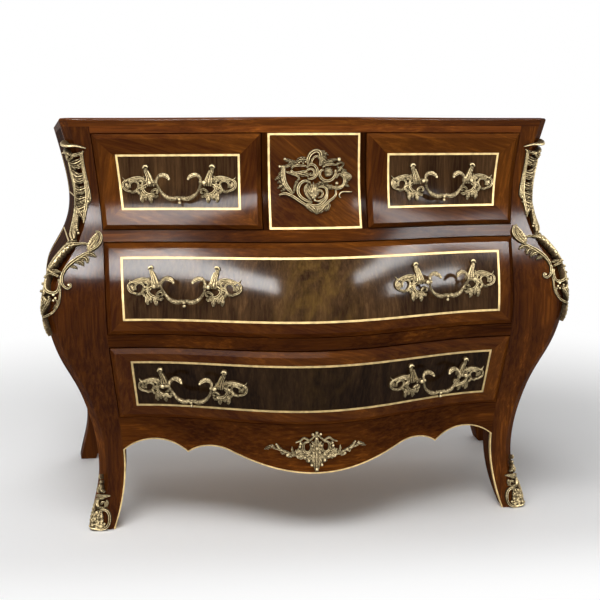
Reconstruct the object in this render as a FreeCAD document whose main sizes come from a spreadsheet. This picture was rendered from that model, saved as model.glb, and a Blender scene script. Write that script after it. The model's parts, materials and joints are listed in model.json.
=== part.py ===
import FreeCAD, Part
import math
import os
import Sketcher
from types import SimpleNamespace

V = FreeCAD.Vector
doc = FreeCAD.newDocument("bombe_chest")
sheet = doc.addObject("Spreadsheet::Sheet", "Sizes")

# Driving dimensions in millimetres. The origin is on the floor, under the middle of the chest's
# overall depth and width; +X is to the right, +Y to the back and +Z up.
SIZES = {
    # heights, stacked from the floor up
    "lower_opening_base": 226.0,
    "lower_opening_height": 150.0,
    "middle_rail_height": 24.0,
    "middle_opening_height": 172.0,
    "upper_rail_height": 21.0,
    "upper_opening_height": 179.0,
    "top_rail_height": 12.0,
    "top_board_thickness": 16.0,
    "top_board_edge": 4.0,
    # plan
    "back_plane": 284.0,
    "side_flare": 84.0,
    "corner_cant": 14.0,
    # vertical profile at the front corners: height of a station and its distance from the back
    "foot_reach": 448.0,
    "ankle_level": 150.0,
    "ankle_reach": 426.0,
    "belly_level": 430.0,
    "belly_reach": 480.0,
    "neck_level": 690.0,
    "neck_reach": 421.0,
    "top_reach": 432.0,
    # bow of the front between its corners
    "bow_at_floor": 115.0,
    "bow_at_top": 40.0,
    "bow_half_width": 370.0,
    # outline of the front seen from the front: half widths at their heights
    "foot_half_width": 445.0,
    "heel_level": 110.0,
    "heel_half_width": 423.0,
    "skirt_level": 200.0,
    "skirt_half_width": 432.0,
    "knee_level": 290.0,
    "knee_half_width": 455.0,
    "hip_level": 375.0,
    "hip_half_width": 489.0,
    "shoulder_level": 450.0,
    "shoulder_half_width": 502.0,
    "arm_level": 520.0,
    "arm_half_width": 488.0,
    "throat_level": 575.0,
    "throat_half_width": 452.0,
    "waist_level": 640.0,
    "waist_half_width": 439.0,
    "collar_level": 720.0,
    "collar_half_width": 449.0,
    "top_half_width": 468.0,
    # inner edge of the front corner posts and of their legs
    "stile_top_x": 414.0,
    "stile_throat_level": 582.0,
    "stile_throat_x": 396.0,
    "stile_belly_level": 388.0,
    "stile_belly_x": 392.0,
    "leg_top_level": 157.0,
    "leg_top_x": 378.0,
    "leg_middle_level": 90.0,
    "leg_middle_x": 379.5,
    "leg_foot_x": 401.0,
    "post_depth": 45.0,
    "leg_foot_depth": 32.0,
    # boards
    "side_inner_front": 412.0,
    "side_inner_back": 488.0,
    "back_thickness": 12.0,
    "apron_thickness": 22.0,
    "dust_board_thickness": 5.0,
    "bottom_board_thickness": 8.0,
    "bottom_board_drop": 13.0,
    "apron_hump_x": 313.0,
    "apron_hump_level": 181.0,
    "apron_cusp_x": 250.0,
    "apron_cusp_level": 157.0,
    "apron_swell_x": 200.0,
    "apron_swell_level": 174.0,
    "apron_middle_level": 131.0,
    "side_arch_level": 190.0,
    "side_drop_level": 168.0,
    "brass_edge_thickness": 2.5,
    "brass_edge_width": 6.0,
    "partition_thickness": 9.5,
    "partition_inner_x": 88.5,
    "panel_thickness": 18.0,
    "joint_clearance": 0.2,
    # drawers
    "front_gap": 2.0,
    "front_proud": 12.0,
    "front_inset": 10.0,
    "front_bevel": 9.0,
    "drawer_side_thickness": 12.0,
    "drawer_back_thickness": 10.0,
    "drawer_bottom_thickness": 5.0,
    "drawer_groove_depth": 4.0,
    "drawer_bottom_lift": 6.0,
    "drawer_side_clearance": 3.0,
    "drawer_seat_clearance": 0.3,
    "drawer_top_clearance": 4.0,
    "drawer_back_drop": 6.0,
    "stop_depth": 12.0,
    "stop_width": 20.0,
    "stop_height": 15.0,
    "runner_width": 24.0,
    "guide_thickness": 12.0,
    "guide_height": 16.0,
    "guide_clearance": 1.0,
    "inner_runner_near": 72.0,
    "inner_runner_far": 124.0,
    # brass stringing on the fronts
    "string_width": 3.8,
    "string_thickness": 0.8,
    "string_seat": 0.2,
    "panel_string_margin": 1.5,
    "string_side_margin": 32.0,
    "string_top_margin": 28.0,
    "string_bottom_margin": 31.5,
    "small_string_side_margin": 41.0,
    "small_string_top_margin": 41.0,
    "small_string_bottom_margin": 39.5,
    "lower_string_side_margin": 38.5,
    # handles
    "upper_handle_x": 251.5,
    "upper_handle_level": 681.0,
    "middle_handle_x": 246.0,
    "middle_handle_level": 496.0,
    "lower_handle_x": 236.5,
    "lower_handle_level": 305.0,
    "post_spacing": 92.0,
    "post_reach": 24.0,
    "pin_radius": 2.0,
    "pin_clearance": 0.05,
    "pin_depth": 5.0,
    "bail_thickness": 5.0,
    "rosette_thickness": 4.0,
    "eye_radius": 4.5,
    "eye_width": 9.0,
    # gilt mounts
    "mount_thickness": 5.0,
    "mount_wrap": 30.0,
}


class Size:
    """A length with the spreadsheet expression that it comes from."""

    def __init__(self, value, text):
        self.value = float(value)
        self.text = text

    def _join(self, other, sign, value):
        text = other.text if isinstance(other, Size) else repr(float(other))
        return Size(value, "(%s %s %s)" % (self.text, sign, text))

    def __float__(self):
        return self.value

    def __add__(self, other):
        return self._join(other, "+", self.value + float(other))

    def __sub__(self, other):
        return self._join(other, "-", self.value - float(other))

    def __mul__(self, other):
        return self._join(other, "*", self.value * float(other))

    def __truediv__(self, other):
        return self._join(other, "/", self.value / float(other))

    def __neg__(self):
        return Size(-self.value, "(0 - %s)" % self.text)


for row, (alias, value) in enumerate(SIZES.items(), start=1):
    sheet.set("A%d" % row, alias)
    sheet.set("B%d" % row, str(value))
    sheet.setAlias("B%d" % row, alias)
doc.recompute()
S = SimpleNamespace(**{alias: Size(sheet.get(alias), "Sizes." + alias) for alias in SIZES})

# Levels of the openings and boards, from the floor up.
lower_top = S.lower_opening_base + S.lower_opening_height
middle_base = lower_top + S.middle_rail_height
middle_top = middle_base + S.middle_opening_height
upper_base = middle_top + S.upper_rail_height
upper_top = upper_base + S.upper_opening_height
carcass_top = upper_top + S.top_rail_height
chest_top = carcass_top + S.top_board_thickness
rear_post_front = S.back_plane - S.post_depth
back_panel_front = S.back_plane - S.back_thickness
frame_back = S.back_plane - S.neck_reach + S.post_depth
partition_outer_x = S.partition_inner_x + S.partition_thickness

REACH = [(Size(0, "0"), S.foot_reach), (S.ankle_level, S.ankle_reach), (S.belly_level, S.belly_reach),
         (S.neck_level, S.neck_reach), (chest_top, S.top_reach)]
HALF_WIDTH = [(Size(0, "0"), S.foot_half_width), (S.heel_level, S.heel_half_width),
              (S.skirt_level, S.skirt_half_width), (S.knee_level, S.knee_half_width),
              (S.hip_level, S.hip_half_width), (S.shoulder_level, S.shoulder_half_width),
              (S.arm_level, S.arm_half_width), (S.throat_level, S.throat_half_width),
              (S.waist_level, S.waist_half_width), (S.collar_level, S.collar_half_width),
              (chest_top, S.top_half_width)]
STILE = [(S.leg_top_level, S.leg_top_x), (S.stile_belly_level, S.stile_belly_x),
         (S.stile_throat_level, S.stile_throat_x), (carcass_top, S.stile_top_x)]

FAR = 700.0          # beyond every piece, for the solids that only cut
LEVELS = 17          # rows of the shaped surfaces
BELOW = 20.0         # how far the shaped surfaces run past the floor and the top


def slope(stations, k):
    """Tangent of a profile at station k, flat where the profile turns back."""
    def chord(i):
        rise = float(stations[i + 1][1]) - float(stations[i][1])
        return rise / (float(stations[i + 1][0]) - float(stations[i][0]))
    if k == 0:
        return chord(0)
    if k == len(stations) - 1:
        return chord(k - 1)
    before, after = chord(k - 1), chord(k)
    if before * after <= 0:
        return 0.0
    return 2 * before * after / (before + after)


def profile(stations, level):
    """A smooth profile through its stations, carried on straight past both ends."""
    first, last = stations[0], stations[-1]
    if level <= float(first[0]):
        return float(first[1]) + slope(stations, 0) * (level - float(first[0]))
    if level >= float(last[0]):
        return float(last[1]) + slope(stations, len(stations) - 1) * (level - float(last[0]))
    k = max(i for i in range(len(stations) - 1) if float(stations[i][0]) <= level)
    low, high = stations[k], stations[k + 1]
    span = float(high[0]) - float(low[0])
    t = (level - float(low[0])) / span
    value = (2 * t ** 3 - 3 * t * t + 1) * float(low[1]) + (3 * t * t - 2 * t ** 3) * float(high[1])
    value += (t ** 3 - 2 * t * t + t) * span * slope(stations, k)
    return value + (t ** 3 - t * t) * span * slope(stations, k + 1)


def stile_x(level):
    """Inner edge of the front corner post above the leg: straight between its stations."""
    level = float(level)
    k = 0
    while k < len(STILE) - 2 and level > float(STILE[k + 1][0]):
        k += 1
    low, high = STILE[k], STILE[k + 1]
    share = (level - float(low[0])) / (float(high[0]) - float(low[0]))
    return float(low[1]) + share * (float(high[1]) - float(low[1]))


def front_y(x, level):
    """Front face of the carcass: a bow that dies out towards the corners."""
    bow = float(S.bow_at_floor) + (float(S.bow_at_top) - float(S.bow_at_floor)) * level / float(chest_top)
    half = float(S.bow_half_width)
    swell = math.cos(math.pi * x / (2 * half)) ** 2 if abs(x) < half else 0.0
    return float(S.back_plane) - profile(REACH, level) - bow * swell


def side_x(y, level):
    """Right side of the carcass: straight in plan, flaring from the front corner to the back."""
    reach = profile(REACH, level)
    share = (y - float(S.back_plane) + reach) / reach
    return profile(HALF_WIDTH, level) + float(S.side_flare) * share


def spread(low, high, count):
    return [low + (high - low) * i / (count - 1.0) for i in range(count)]


LEVEL_GRID = spread(-BELOW, float(chest_top) + BELOW, LEVELS)


def surface(rows):
    """A face through a grid of points."""
    shaped = Part.BSplineSurface()
    shaped.interpolate(rows)
    return shaped.toShape()


def mirrored(shape):
    return shape.mirror(V(0, 0, 0), V(1, 0, 0))


def keep(name, shape):
    """A shape that Part's functions made, as an object of the document."""
    piece = doc.addObject("Part::Feature", name)
    piece.Shape = shape
    piece.Label = name
    return piece


def front_face():
    half = float(S.bow_half_width)
    columns = [-1.8 * half] + spread(-1.4 * half, 1.4 * half, 15) + [1.8 * half]
    return surface([[V(x, front_y(x, z), z) for z in LEVEL_GRID] for x in columns])


def upright(x_at, y_at):
    """A smooth upright edge: x and y are worked out for each level."""
    spline = Part.BSplineCurve()
    points = [V(x_at(z), y_at(z), z) for z in LEVEL_GRID]
    spline.interpolate(Points=points, Parameters=LEVEL_GRID)
    return spline.toShape()


def corner_y(z):
    return float(S.back_plane) - profile(REACH, z)


def side_face(stand_off):
    """Straight lines from an upright edge before the front to one behind the back."""
    near, far = -FAR, float(S.back_plane) + BELOW
    return Part.makeRuledSurface(upright(lambda z: side_x(near, z) + stand_off, lambda z: near),
                                 upright(lambda z: side_x(far, z) + stand_off, lambda z: far))


def cant_face(stand_off):
    """The flat cut along the front right corner, stood off by a distance."""
    cant = float(S.corner_cant) / 2
    off = stand_off / math.sqrt(2)
    edges = [upright(lambda z, u=u: profile(HALF_WIDTH, z) - cant + u + off,
                     lambda z, u=u: corner_y(z) + cant + u - off) for u in (-3.0 * BELOW, 3.0 * BELOW)]
    return Part.makeRuledSurface(*edges)


def corner_front(stand_off):
    """The front beside the corners, where the bow has died out: the same all the way across."""
    edges = [upright(lambda z, x=x: x, lambda z: corner_y(z) - stand_off) for x in (-FAR, FAR)]
    return Part.makeRuledSurface(*edges)


FRONT = front_face()


def block(low, high):
    """A plain box between two corners."""
    size = [float(b) - float(a) for a, b in zip(low, high)]
    return Part.makeBox(size[0], size[1], size[2], V(*[float(a) for a in low]))


def body_behind(stand_off):
    """All that lies behind the front face, moved forward by a distance."""
    face = FRONT.translated(V(0, -stand_off, 0))
    return face.extrude(V(0, 2 * FAR, 0))


def between_sides(stand_off, bottom, top):
    """What lies between the chest's sides and behind its canted corners."""
    right = side_face(stand_off).extrude(V(-4 * FAR, 0, 0))
    form = block((-FAR, -FAR, bottom), (FAR, S.back_plane, top)).common(right).common(mirrored(right))
    corner = cant_face(stand_off).extrude(V(4 * BELOW, -4 * BELOW, 0))
    return form.cut(corner).cut(mirrored(corner))


def corner_body(stand_off, bottom, top):
    """The outer form beside the bow, grown by a distance at the front, the sides and the corners."""
    front = corner_front(stand_off).extrude(V(0, 4 * FAR, 0))
    return between_sides(stand_off, bottom, top).common(front)


side_form = keep("side_form", between_sides(0.0, 0.0, float(chest_top)))
carcass_form = keep("carcass_form", corner_body(0.0, 0.0, float(chest_top)))
front_form = keep("front_form", body_behind(0.0))
drawer_form = keep("drawer_form", body_behind(float(S.front_proud)))


def bind(piece, **values):
    """Ties an object's properties to the spreadsheet."""
    for name, value in values.items():
        path = name.replace("__", ".")
        if isinstance(value, Size):
            piece.setExpression(path, value.text)
        else:
            setattr_path(piece, path, value)


def setattr_path(piece, path, value):
    """Sets a plain number on a property, or on one coordinate of its placement."""
    if path.startswith("Placement.Base."):
        base = piece.Placement.Base
        setattr(base, path[-1], float(value))
        piece.Placement = FreeCAD.Placement(base, piece.Placement.Rotation)
    else:
        setattr(piece, path, float(value))


def as_size(value):
    return value if isinstance(value, Size) else Size(value, repr(float(value)))


def box(name, low, high):
    """A Part::Box between two corners given as sizes."""
    low = [as_size(v) for v in low]
    high = [as_size(v) for v in high]
    piece = doc.addObject("Part::Box", name)
    bind(piece, Length=high[0] - low[0], Width=high[1] - low[1], Height=high[2] - low[2],
         Placement__Base__x=low[0], Placement__Base__y=low[1], Placement__Base__z=low[2])
    piece.Label = name
    return piece


PLANES = {
    # how a sketch lies, and which way its extrusion runs: across the chest's width, depth or height
    "front": (FreeCAD.Rotation(V(1, 0, 0), 90), V(0, 1, 0)),
    "plan": (FreeCAD.Rotation(), V(0, 0, 1)),
    "side": (FreeCAD.Rotation(V(1, 1, 1), 120), V(1, 0, 0)),
}


def prism(name, plane, points, start, length):
    """A straight-sided outline sketched on a plane and extruded; every corner is a bound dimension."""
    turn, direction = PLANES[plane]
    start, length = as_size(start), as_size(length)
    sketch = doc.addObject("Sketcher::SketchObject", name + "_outline")
    sketch.Placement = FreeCAD.Placement(V(0, 0, 0), turn)
    corners = [V(float(a), float(b), 0) for a, b in points]
    count = len(corners)
    for i in range(count):
        sketch.addGeometry(Part.LineSegment(corners[i], corners[(i + 1) % count]))
    for i in range(count):
        sketch.addConstraint(Sketcher.Constraint("Coincident", i, 2, (i + 1) % count, 1))
    for i, (a, b) in enumerate(points):
        for kind, value in (("DistanceX", as_size(a)), ("DistanceY", as_size(b))):
            number = sketch.addConstraint(Sketcher.Constraint(kind, -1, 1, i, 1, float(value)))
            sketch.setExpression("Constraints[%d]" % number, value.text)
    sketch.setExpression("Placement.Base." + "xyz"[[abs(c) > 0.5 for c in direction].index(True)],
                         start.text)
    solid = doc.addObject("Part::Extrusion", name)
    solid.Base = sketch
    solid.DirMode = "Custom"
    solid.Dir = direction
    solid.Solid = True
    solid.setExpression("LengthFwd", length.text)
    return solid


def common(name, *pieces):
    """What several solids share."""
    piece = doc.addObject("Part::MultiCommon", name)
    piece.Shapes = list(pieces)
    piece.Label = name
    return piece


def cut(name, base, tool):
    piece = doc.addObject("Part::Cut", name)
    piece.Base = base
    piece.Tool = tool
    piece.Label = name
    return piece


def group(name, shapes):
    """Separate like solids kept in one node."""
    return keep(name, Part.Compound(shapes))


def flat_outline(edges_or_points, plane, start, push):
    """Extrudes a closed outline, given as corner points or as edges, square to its plane."""
    if isinstance(edges_or_points[0], tuple):
        points = [place(plane, a, b, start) for a, b in edges_or_points]
        wire = Part.makePolygon(points + [points[0]])
    else:
        wire = Part.Wire(edges_or_points)
    axis = {"front": V(0, 1, 0), "plan": V(0, 0, 1), "side": V(1, 0, 0)}[plane]
    return Part.Face(wire).extrude(axis * push)


def place(plane, a, b, depth):
    """A point of a plane's outline, in the chest's own axes."""
    a, b, depth = float(a), float(b), float(depth)
    return {"front": V(a, depth, b), "plan": V(a, b, depth), "side": V(depth, a, b)}[plane]


def line(first, last, plane="front", depth=-FAR):
    return Part.LineSegment(place(plane, first[0], first[1], depth),
                            place(plane, last[0], last[1], depth)).toShape()


def arc(first, middle, last, plane="front", depth=-FAR):
    return Part.Arc(*[place(plane, a, b, depth) for a, b in (first, middle, last)]).toShape()


def chain(points, plane="front", depth=-FAR):
    """Straight edges from point to point."""
    return [line(a, b, plane, depth) for a, b in zip(points, points[1:])]


# ---------------------------------------------------------------- corner posts and legs

LEG_EDGE = [(S.leg_top_x, S.leg_top_level), (S.leg_middle_x, S.leg_middle_level), (S.leg_foot_x, 0.0)]


def post_zone(shift):
    """Everything outside the inner edge of the right post and its leg, seen from the front."""
    def moved(points):
        return [(float(a) + shift, float(b)) for a, b in points]
    over, under = float(chest_top) + BELOW, -BELOW
    stile = moved([(x, level) for level, x in reversed(STILE)])
    leg = moved(LEG_EDGE)
    edges = chain([(FAR, under), (FAR, over), (stile[0][0], over)] + stile)
    edges.append(arc(*leg))
    edges += chain([leg[-1], (leg[-1][0], under), (FAR, under)])
    return flat_outline(edges, "front", -FAR, 2 * FAR)


def both_sides(shape):
    return Part.Compound([shape, mirrored(shape)])


POST_ZONE = post_zone(0.0)
stile_cutter = keep("stile_cutter", both_sides(POST_ZONE))
rear_stile_cutter = keep("rear_stile_cutter", both_sides(post_zone(float(S.side_flare))))
front_stile_cutter = keep("front_stile_cutter", both_sides(post_zone(-float(S.front_gap))))


def front_post_side_view():
    """The post is a thick block above; its leg thins to the foot on an arc tangent to the block."""
    foot_back = float(S.back_plane) - float(S.foot_reach) + float(S.leg_foot_depth)
    rise, run = float(S.leg_top_level), float(frame_back) - foot_back
    radius = (rise ** 2 + run ** 2) / (2 * run)
    middle_back = float(frame_back) - radius + math.sqrt(radius ** 2 - (rise / 2) ** 2)
    edges = chain([(foot_back, 0.0), (-FAR, 0.0), (-FAR, carcass_top), (frame_back, carcass_top),
                   (frame_back, rise)], "side", -FAR)
    edges.append(arc((frame_back, rise), (middle_back, rise / 2), (foot_back, 0.0), "side", -FAR))
    return flat_outline(edges, "side", -FAR, 2 * FAR)


def mirror_piece(name, source):
    """The left-hand twin of a right-hand piece."""
    piece = doc.addObject("Part::Mirroring", name)
    piece.Source = source
    piece.Base = V(0, 0, 0)
    piece.Normal = V(1, 0, 0)
    piece.Label = name
    return piece


front_post_view = keep("front_post_view", front_post_side_view())
post_zone_form = keep("post_zone_form", POST_ZONE)
rear_post_zone_form = keep("rear_post_zone_form", post_zone(float(S.side_flare)))
front_right_post = common("front_right_post", carcass_form, post_zone_form, front_post_view)
front_left_post = mirror_piece("front_left_post", front_right_post)
rear_post_block = box("rear_post_block", (0, rear_post_front, 0), (FAR, S.back_plane, carcass_top))
rear_right_post = common("rear_right_post", carcass_form, rear_post_zone_form, rear_post_block)
rear_left_post = mirror_piece("rear_left_post", rear_right_post)

# ---------------------------------------------------------------- rails, top and apron

WIDE = S.stile_top_x + 40.0


def rail(name, base, top):
    """A rail between the posts: shaped to the front, straight at the back."""
    blank = box(name + "_blank", (-WIDE, -FAR, base), (WIDE, frame_back, top))
    return cut(name, common(name + "_shaped", front_form, blank), stile_cutter)


top_rail = rail("top_rail", upper_top, carcass_top)
upper_rail = rail("upper_rail", middle_top, upper_base)
middle_rail = rail("middle_rail", lower_top, middle_base)

top_block = box("top_block", (-FAR, -FAR, carcass_top), (FAR, S.back_plane, chest_top))
top_shaped = common("top_shaped", side_form, front_form, top_block)


def dressed(kind, name, base, chosen, size):
    """A piece with some of its edges bevelled (Part::Chamfer) or rounded (Part::Fillet)."""
    piece = doc.addObject(kind, name)
    piece.Base = base
    numbers = [i for i, edge in enumerate(base.Shape.Edges, start=1) if chosen(edge)]
    piece.Edges = [(i, float(size), float(size)) for i in numbers]
    piece.Label = name
    return piece


def on_top_rim(edge):
    """An edge of the top face, other than the one at the back."""
    places = [edge.valueAt(t) for t in spread(edge.FirstParameter, edge.LastParameter, 3)]
    level = all(abs(p.z - float(chest_top)) < 0.01 for p in places)
    return level and not all(abs(p.y - float(S.back_plane)) < 0.01 for p in places)


doc.recompute()
top_board = dressed("Part::Fillet", "top_board", top_shaped, on_top_rim, S.top_board_edge)


def most_recessed(x, base, top):
    """Where a stretch of the front lies furthest back at one place of its width."""
    return max(front_y(x, z) for z in spread(float(base), float(top), 9))


def front_zone(base, top, depth):
    """All that lies in front of an upright bowed face, a depth behind the front's deepest line.

    The bow is three arcs of one radius, tangent to each other and to the straight ends.
    """
    half = float(S.bow_half_width)
    end = most_recessed(half, base, top) + float(depth)
    tip = most_recessed(0.0, base, top) + float(depth)
    turn, rise = half / 2, (end - tip) / 2
    radius = (turn ** 2 + rise ** 2) / (2 * rise)
    quarter = radius - math.sqrt(radius ** 2 - (turn / 2) ** 2)
    middle = (tip + end) / 2
    far = 1.4 * half
    edges = [arc((-half, end), (-1.5 * turn, end - quarter), (-turn, middle), "plan", -BELOW),
             arc((-turn, middle), (0, tip), (turn, middle), "plan", -BELOW),
             arc((turn, middle), (1.5 * turn, end - quarter), (half, end), "plan", -BELOW)]
    edges += chain([(half, end), (far, end), (far, -FAR), (-far, -FAR), (-far, end), (-half, end)],
                   "plan", -BELOW)
    return flat_outline(edges, "plan", -BELOW, float(chest_top) + 2 * BELOW)


def apron_edge(drop):
    """Its scalloped lower edge from right to left: arches by the legs, swells and a drop in the middle.

    The swell's arc tops out at its own middle and runs into the drop's arc without a corner.
    """
    def moved(x, z):
        return (float(x), float(z) - drop)
    leg = moved(S.leg_top_x, S.leg_top_level)
    hump = moved(S.apron_hump_x, S.apron_hump_level)
    cusp = moved(S.apron_cusp_x, S.apron_cusp_level)
    top = moved(S.apron_swell_x, S.apron_swell_level)
    low = moved(0, S.apron_middle_level)
    fall = top[1] - cusp[1]
    swell_r = ((cusp[0] - top[0]) ** 2 + fall ** 2) / (2 * fall)
    below = low[1] - top[1] + swell_r
    drop_r = (top[0] ** 2 + below ** 2 - swell_r ** 2) / (2 * (swell_r - below))
    share = swell_r / (swell_r + drop_r)
    centre = top[1] - swell_r
    join = (top[0] * (1 - share), centre + share * (low[1] + drop_r - centre))
    right = [(leg, hump, cusp), (cusp, top, join)]
    left = [tuple((-x, z) for x, z in reversed(run)) for run in reversed(right)]
    return right + [(join, low, (-join[0], join[1]))] + left


def apron_zone(drop):
    """What lies above the apron's lower edge, moved down by a distance."""
    runs = apron_edge(drop)
    first, last = runs[0][0], runs[-1][-1]
    edges = [arc(*run) for run in runs]
    edges += chain([last, (-FAR, last[1]), (-FAR, S.lower_opening_base), (FAR, S.lower_opening_base),
                    (FAR, first[1]), first])
    return flat_outline(edges, "front", -FAR, 2 * FAR)


apron_front_zone = keep("apron_front_zone",
                        front_zone(S.apron_middle_level, S.lower_opening_base, S.apron_thickness))
apron_above = keep("apron_above", apron_zone(0.0))
front_apron = cut("front_apron", common("apron_shaped", front_form, apron_front_zone, apron_above),
                  stile_cutter)

# ---------------------------------------------------------------- sides, back and boards

S_clear = S.joint_clearance


def side_panel_zone():
    """Plan of the right side: a thick board, flat inside, from the front post to the rear post."""
    points = [(S.side_inner_front, frame_back), (FAR, frame_back), (FAR, rear_post_front),
              (S.side_inner_back, rear_post_front)]
    return flat_outline(points, "plan", -BELOW, float(carcass_top) + BELOW)


def side_panel_arch():
    """Its lower edge: an arch by each leg and a shallow drop between them, of three arcs."""
    front, rear = float(frame_back), float(rear_post_front)
    third = (rear - front) / 3
    turn = (float(S.side_arch_level) + float(S.side_drop_level)) / 2
    ends = [(front, S.leg_top_level), (front + third, turn), (rear - third, turn), (rear, S.leg_top_level)]
    middles = [(front + third / 2, S.side_arch_level), (front + 1.5 * third, S.side_drop_level),
               (rear - third / 2, S.side_arch_level)]
    edges = [arc(ends[i], middles[i], ends[i + 1], "side", 0.0) for i in range(3)]
    edges += chain([ends[-1], (rear, carcass_top), (front, carcass_top), ends[0]], "side", 0.0)
    return flat_outline(edges, "side", 0.0, FAR)


side_zone = keep("side_zone", side_panel_zone())
side_arch = keep("side_arch", side_panel_arch())
right_side_panel = common("right_side_panel", carcass_form, side_zone, side_arch)
left_side_panel = mirror_piece("left_side_panel", right_side_panel)

back_panel = cut("back_panel",
                 box("back_blank", (-WIDE - S.side_flare, back_panel_front, S.side_arch_level),
                     (WIDE + S.side_flare, S.back_plane, carcass_top)), rear_stile_cutter)


def board_outline(front):
    """Plan of a board between the side panels and the rear posts."""
    edge = S.side_inner_front - S_clear
    wide = S.side_inner_back - S_clear
    rear = S.leg_top_x + S.side_flare - S_clear
    right = [(edge, front), (wide, rear_post_front - S_clear), (rear, rear_post_front - S_clear),
             (rear, back_panel_front)]
    return right + [(-x, y) for x, y in reversed(right)]


lower_dust_board = prism("lower_dust_board", "plan", board_outline(frame_back), lower_top,
                         S.dust_board_thickness)
upper_dust_board = prism("upper_dust_board", "plan", board_outline(frame_back), middle_top,
                         S.dust_board_thickness)
bottom_level = S.lower_opening_base - S.bottom_board_drop - S.bottom_board_thickness
bottom_front = box("bottom_front", (-WIDE, -FAR, bottom_level),
                   (WIDE, frame_back, bottom_level + S.bottom_board_thickness))
bottom_rear = prism("bottom_rear", "plan", board_outline(frame_back), bottom_level,
                    S.bottom_board_thickness)


def fuse(name, *pieces):
    piece = doc.addObject("Part::MultiFuse", name)
    piece.Shapes = list(pieces)
    piece.Label = name
    return piece


bottom_front_cut = cut("bottom_front_cut", cut("bottom_front_shaped", bottom_front, apron_front_zone),
                       stile_cutter)
bottom_board = fuse("bottom_board", bottom_front_cut, bottom_rear)

# ---------------------------------------------------------------- small drawers' partitions and panel

partition_blank = box("partition_blank", (S.partition_inner_x, -FAR, upper_base),
                      (partition_outer_x, back_panel_front, upper_top))
right_partition = common("right_partition", front_form, partition_blank)
panel_back = most_recessed(float(S.partition_inner_x), upper_base, upper_top) + float(S.panel_thickness)
panel_x = S.partition_inner_x - S_clear
panel_blank = box("panel_blank", (-panel_x, -FAR, upper_base + S_clear),
                  (panel_x, panel_back, upper_top - S_clear))
center_panel = common("center_panel", front_form, panel_blank)

# ---------------------------------------------------------------- drawers


class Drawer:
    """The sizes of one drawer's opening and box."""

    def __init__(self, name, base, top, box_x, inner_x=None, mirror=False):
        self.name = name
        self.base = base
        self.top = top
        self.box_x = box_x
        self.inner_x = inner_x
        self.mirror = mirror


lower = Drawer("lower_drawer", S.lower_opening_base, lower_top, S.leg_top_x - S.drawer_side_clearance)
middle = Drawer("middle_drawer", middle_base, middle_top, S.stile_belly_x - S.drawer_side_clearance)
small = Drawer("right_drawer", upper_base, upper_top, S.stile_throat_x - S.drawer_side_clearance,
               partition_outer_x)
drawer_rear = back_panel_front - S.stop_depth - S.drawer_seat_clearance


def drawer_front(d):
    """A thick front: bowed and swelling outside, bevelled round its face, upright inside."""
    left = -WIDE if d.inner_x is None else d.inner_x + S.front_gap
    blank = box(d.name + "_front_blank", (left, -FAR, d.base + S.front_gap), (WIDE, 0, d.top - S.front_gap))
    zone = keep(d.name + "_front_zone", front_zone(d.base, d.top, S.front_inset))
    shaped = common(d.name + "_front_shaped", drawer_form, blank, zone)
    square = cut(d.name + "_front_square", shaped, front_stile_cutter)
    doc.recompute()
    face = face_towards_front(square.Shape)

    def on_face_rim(edge):
        return any(edge.isSame(other) for other in face.Edges)
    return dressed("Part::Chamfer", d.name + "_front", square, on_face_rim, S.front_bevel), zone


def face_towards_front(shape):
    """The face of a solid that looks most to the front."""
    def forward(face):
        low_u, high_u, low_v, high_v = face.ParameterRange
        return -face.normalAt((low_u + high_u) / 2, (low_v + high_v) / 2).y * face.Area
    return max(shape.Faces, key=forward)


def drawer_sides(d, zone):
    """Two upright boards, grooved for the bottom, butted against the back of the front."""
    base = d.base + S.drawer_seat_clearance
    top = d.top - S.drawer_top_clearance
    groove = base + S.drawer_bottom_lift
    outer = d.box_x
    inner = outer - S.drawer_side_thickness

    def board(outer_x, inner_x, sign):
        deep = inner_x + S.drawer_groove_depth * sign
        points = [(outer_x, base), (outer_x, top), (inner_x, top),
                  (inner_x, groove + S.drawer_bottom_thickness), (deep, groove + S.drawer_bottom_thickness),
                  (deep, groove), (inner_x, groove), (inner_x, base)]
        tag = "_outer" if sign > 0 else "_inner"
        blank = prism(d.name + tag + "_board", "front", points, -FAR, drawer_rear + FAR)
        return cut(d.name + tag + "_side", blank, zone)

    right = board(outer, inner, 1)
    if d.inner_x is None:
        left = mirror_piece(d.name + "_left_side", right)
    else:
        edge = d.inner_x + S.drawer_side_clearance
        left = board(edge, edge + S.drawer_side_thickness, -1)
    return right, left


def drawer_bottom(d, zone):
    base = d.base + S.drawer_seat_clearance + S.drawer_bottom_lift
    reach = d.box_x - S.drawer_side_thickness + S.drawer_groove_depth
    left = -reach
    if d.inner_x is not None:
        left = d.inner_x + S.drawer_side_clearance + S.drawer_side_thickness - S.drawer_groove_depth
    blank = box(d.name + "_bottom_blank", (left, -FAR, base),
                (reach, drawer_rear, base + S.drawer_bottom_thickness))
    return cut(d.name + "_bottom", blank, zone)


def drawer_back(d):
    base = d.base + S.drawer_seat_clearance + S.drawer_bottom_lift + S.drawer_bottom_thickness
    reach = d.box_x - S.drawer_side_thickness
    left = -reach
    if d.inner_x is not None:
        left = d.inner_x + S.drawer_side_clearance + S.drawer_side_thickness
    return box(d.name + "_back", (left, drawer_rear - S.drawer_back_thickness, base),
               (reach, drawer_rear, d.top - S.drawer_top_clearance - S.drawer_back_drop))


def laid_on_front(ring, proud):
    """The strip of a brass line: a trimmed piece of the front's own surface, given a thickness."""
    seat = proud + float(S.string_seat)
    strip = FRONT.translated(V(0, -seat, 0)).common(ring)
    return strip.extrude(V(0, -float(S.string_thickness), 0))


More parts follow.
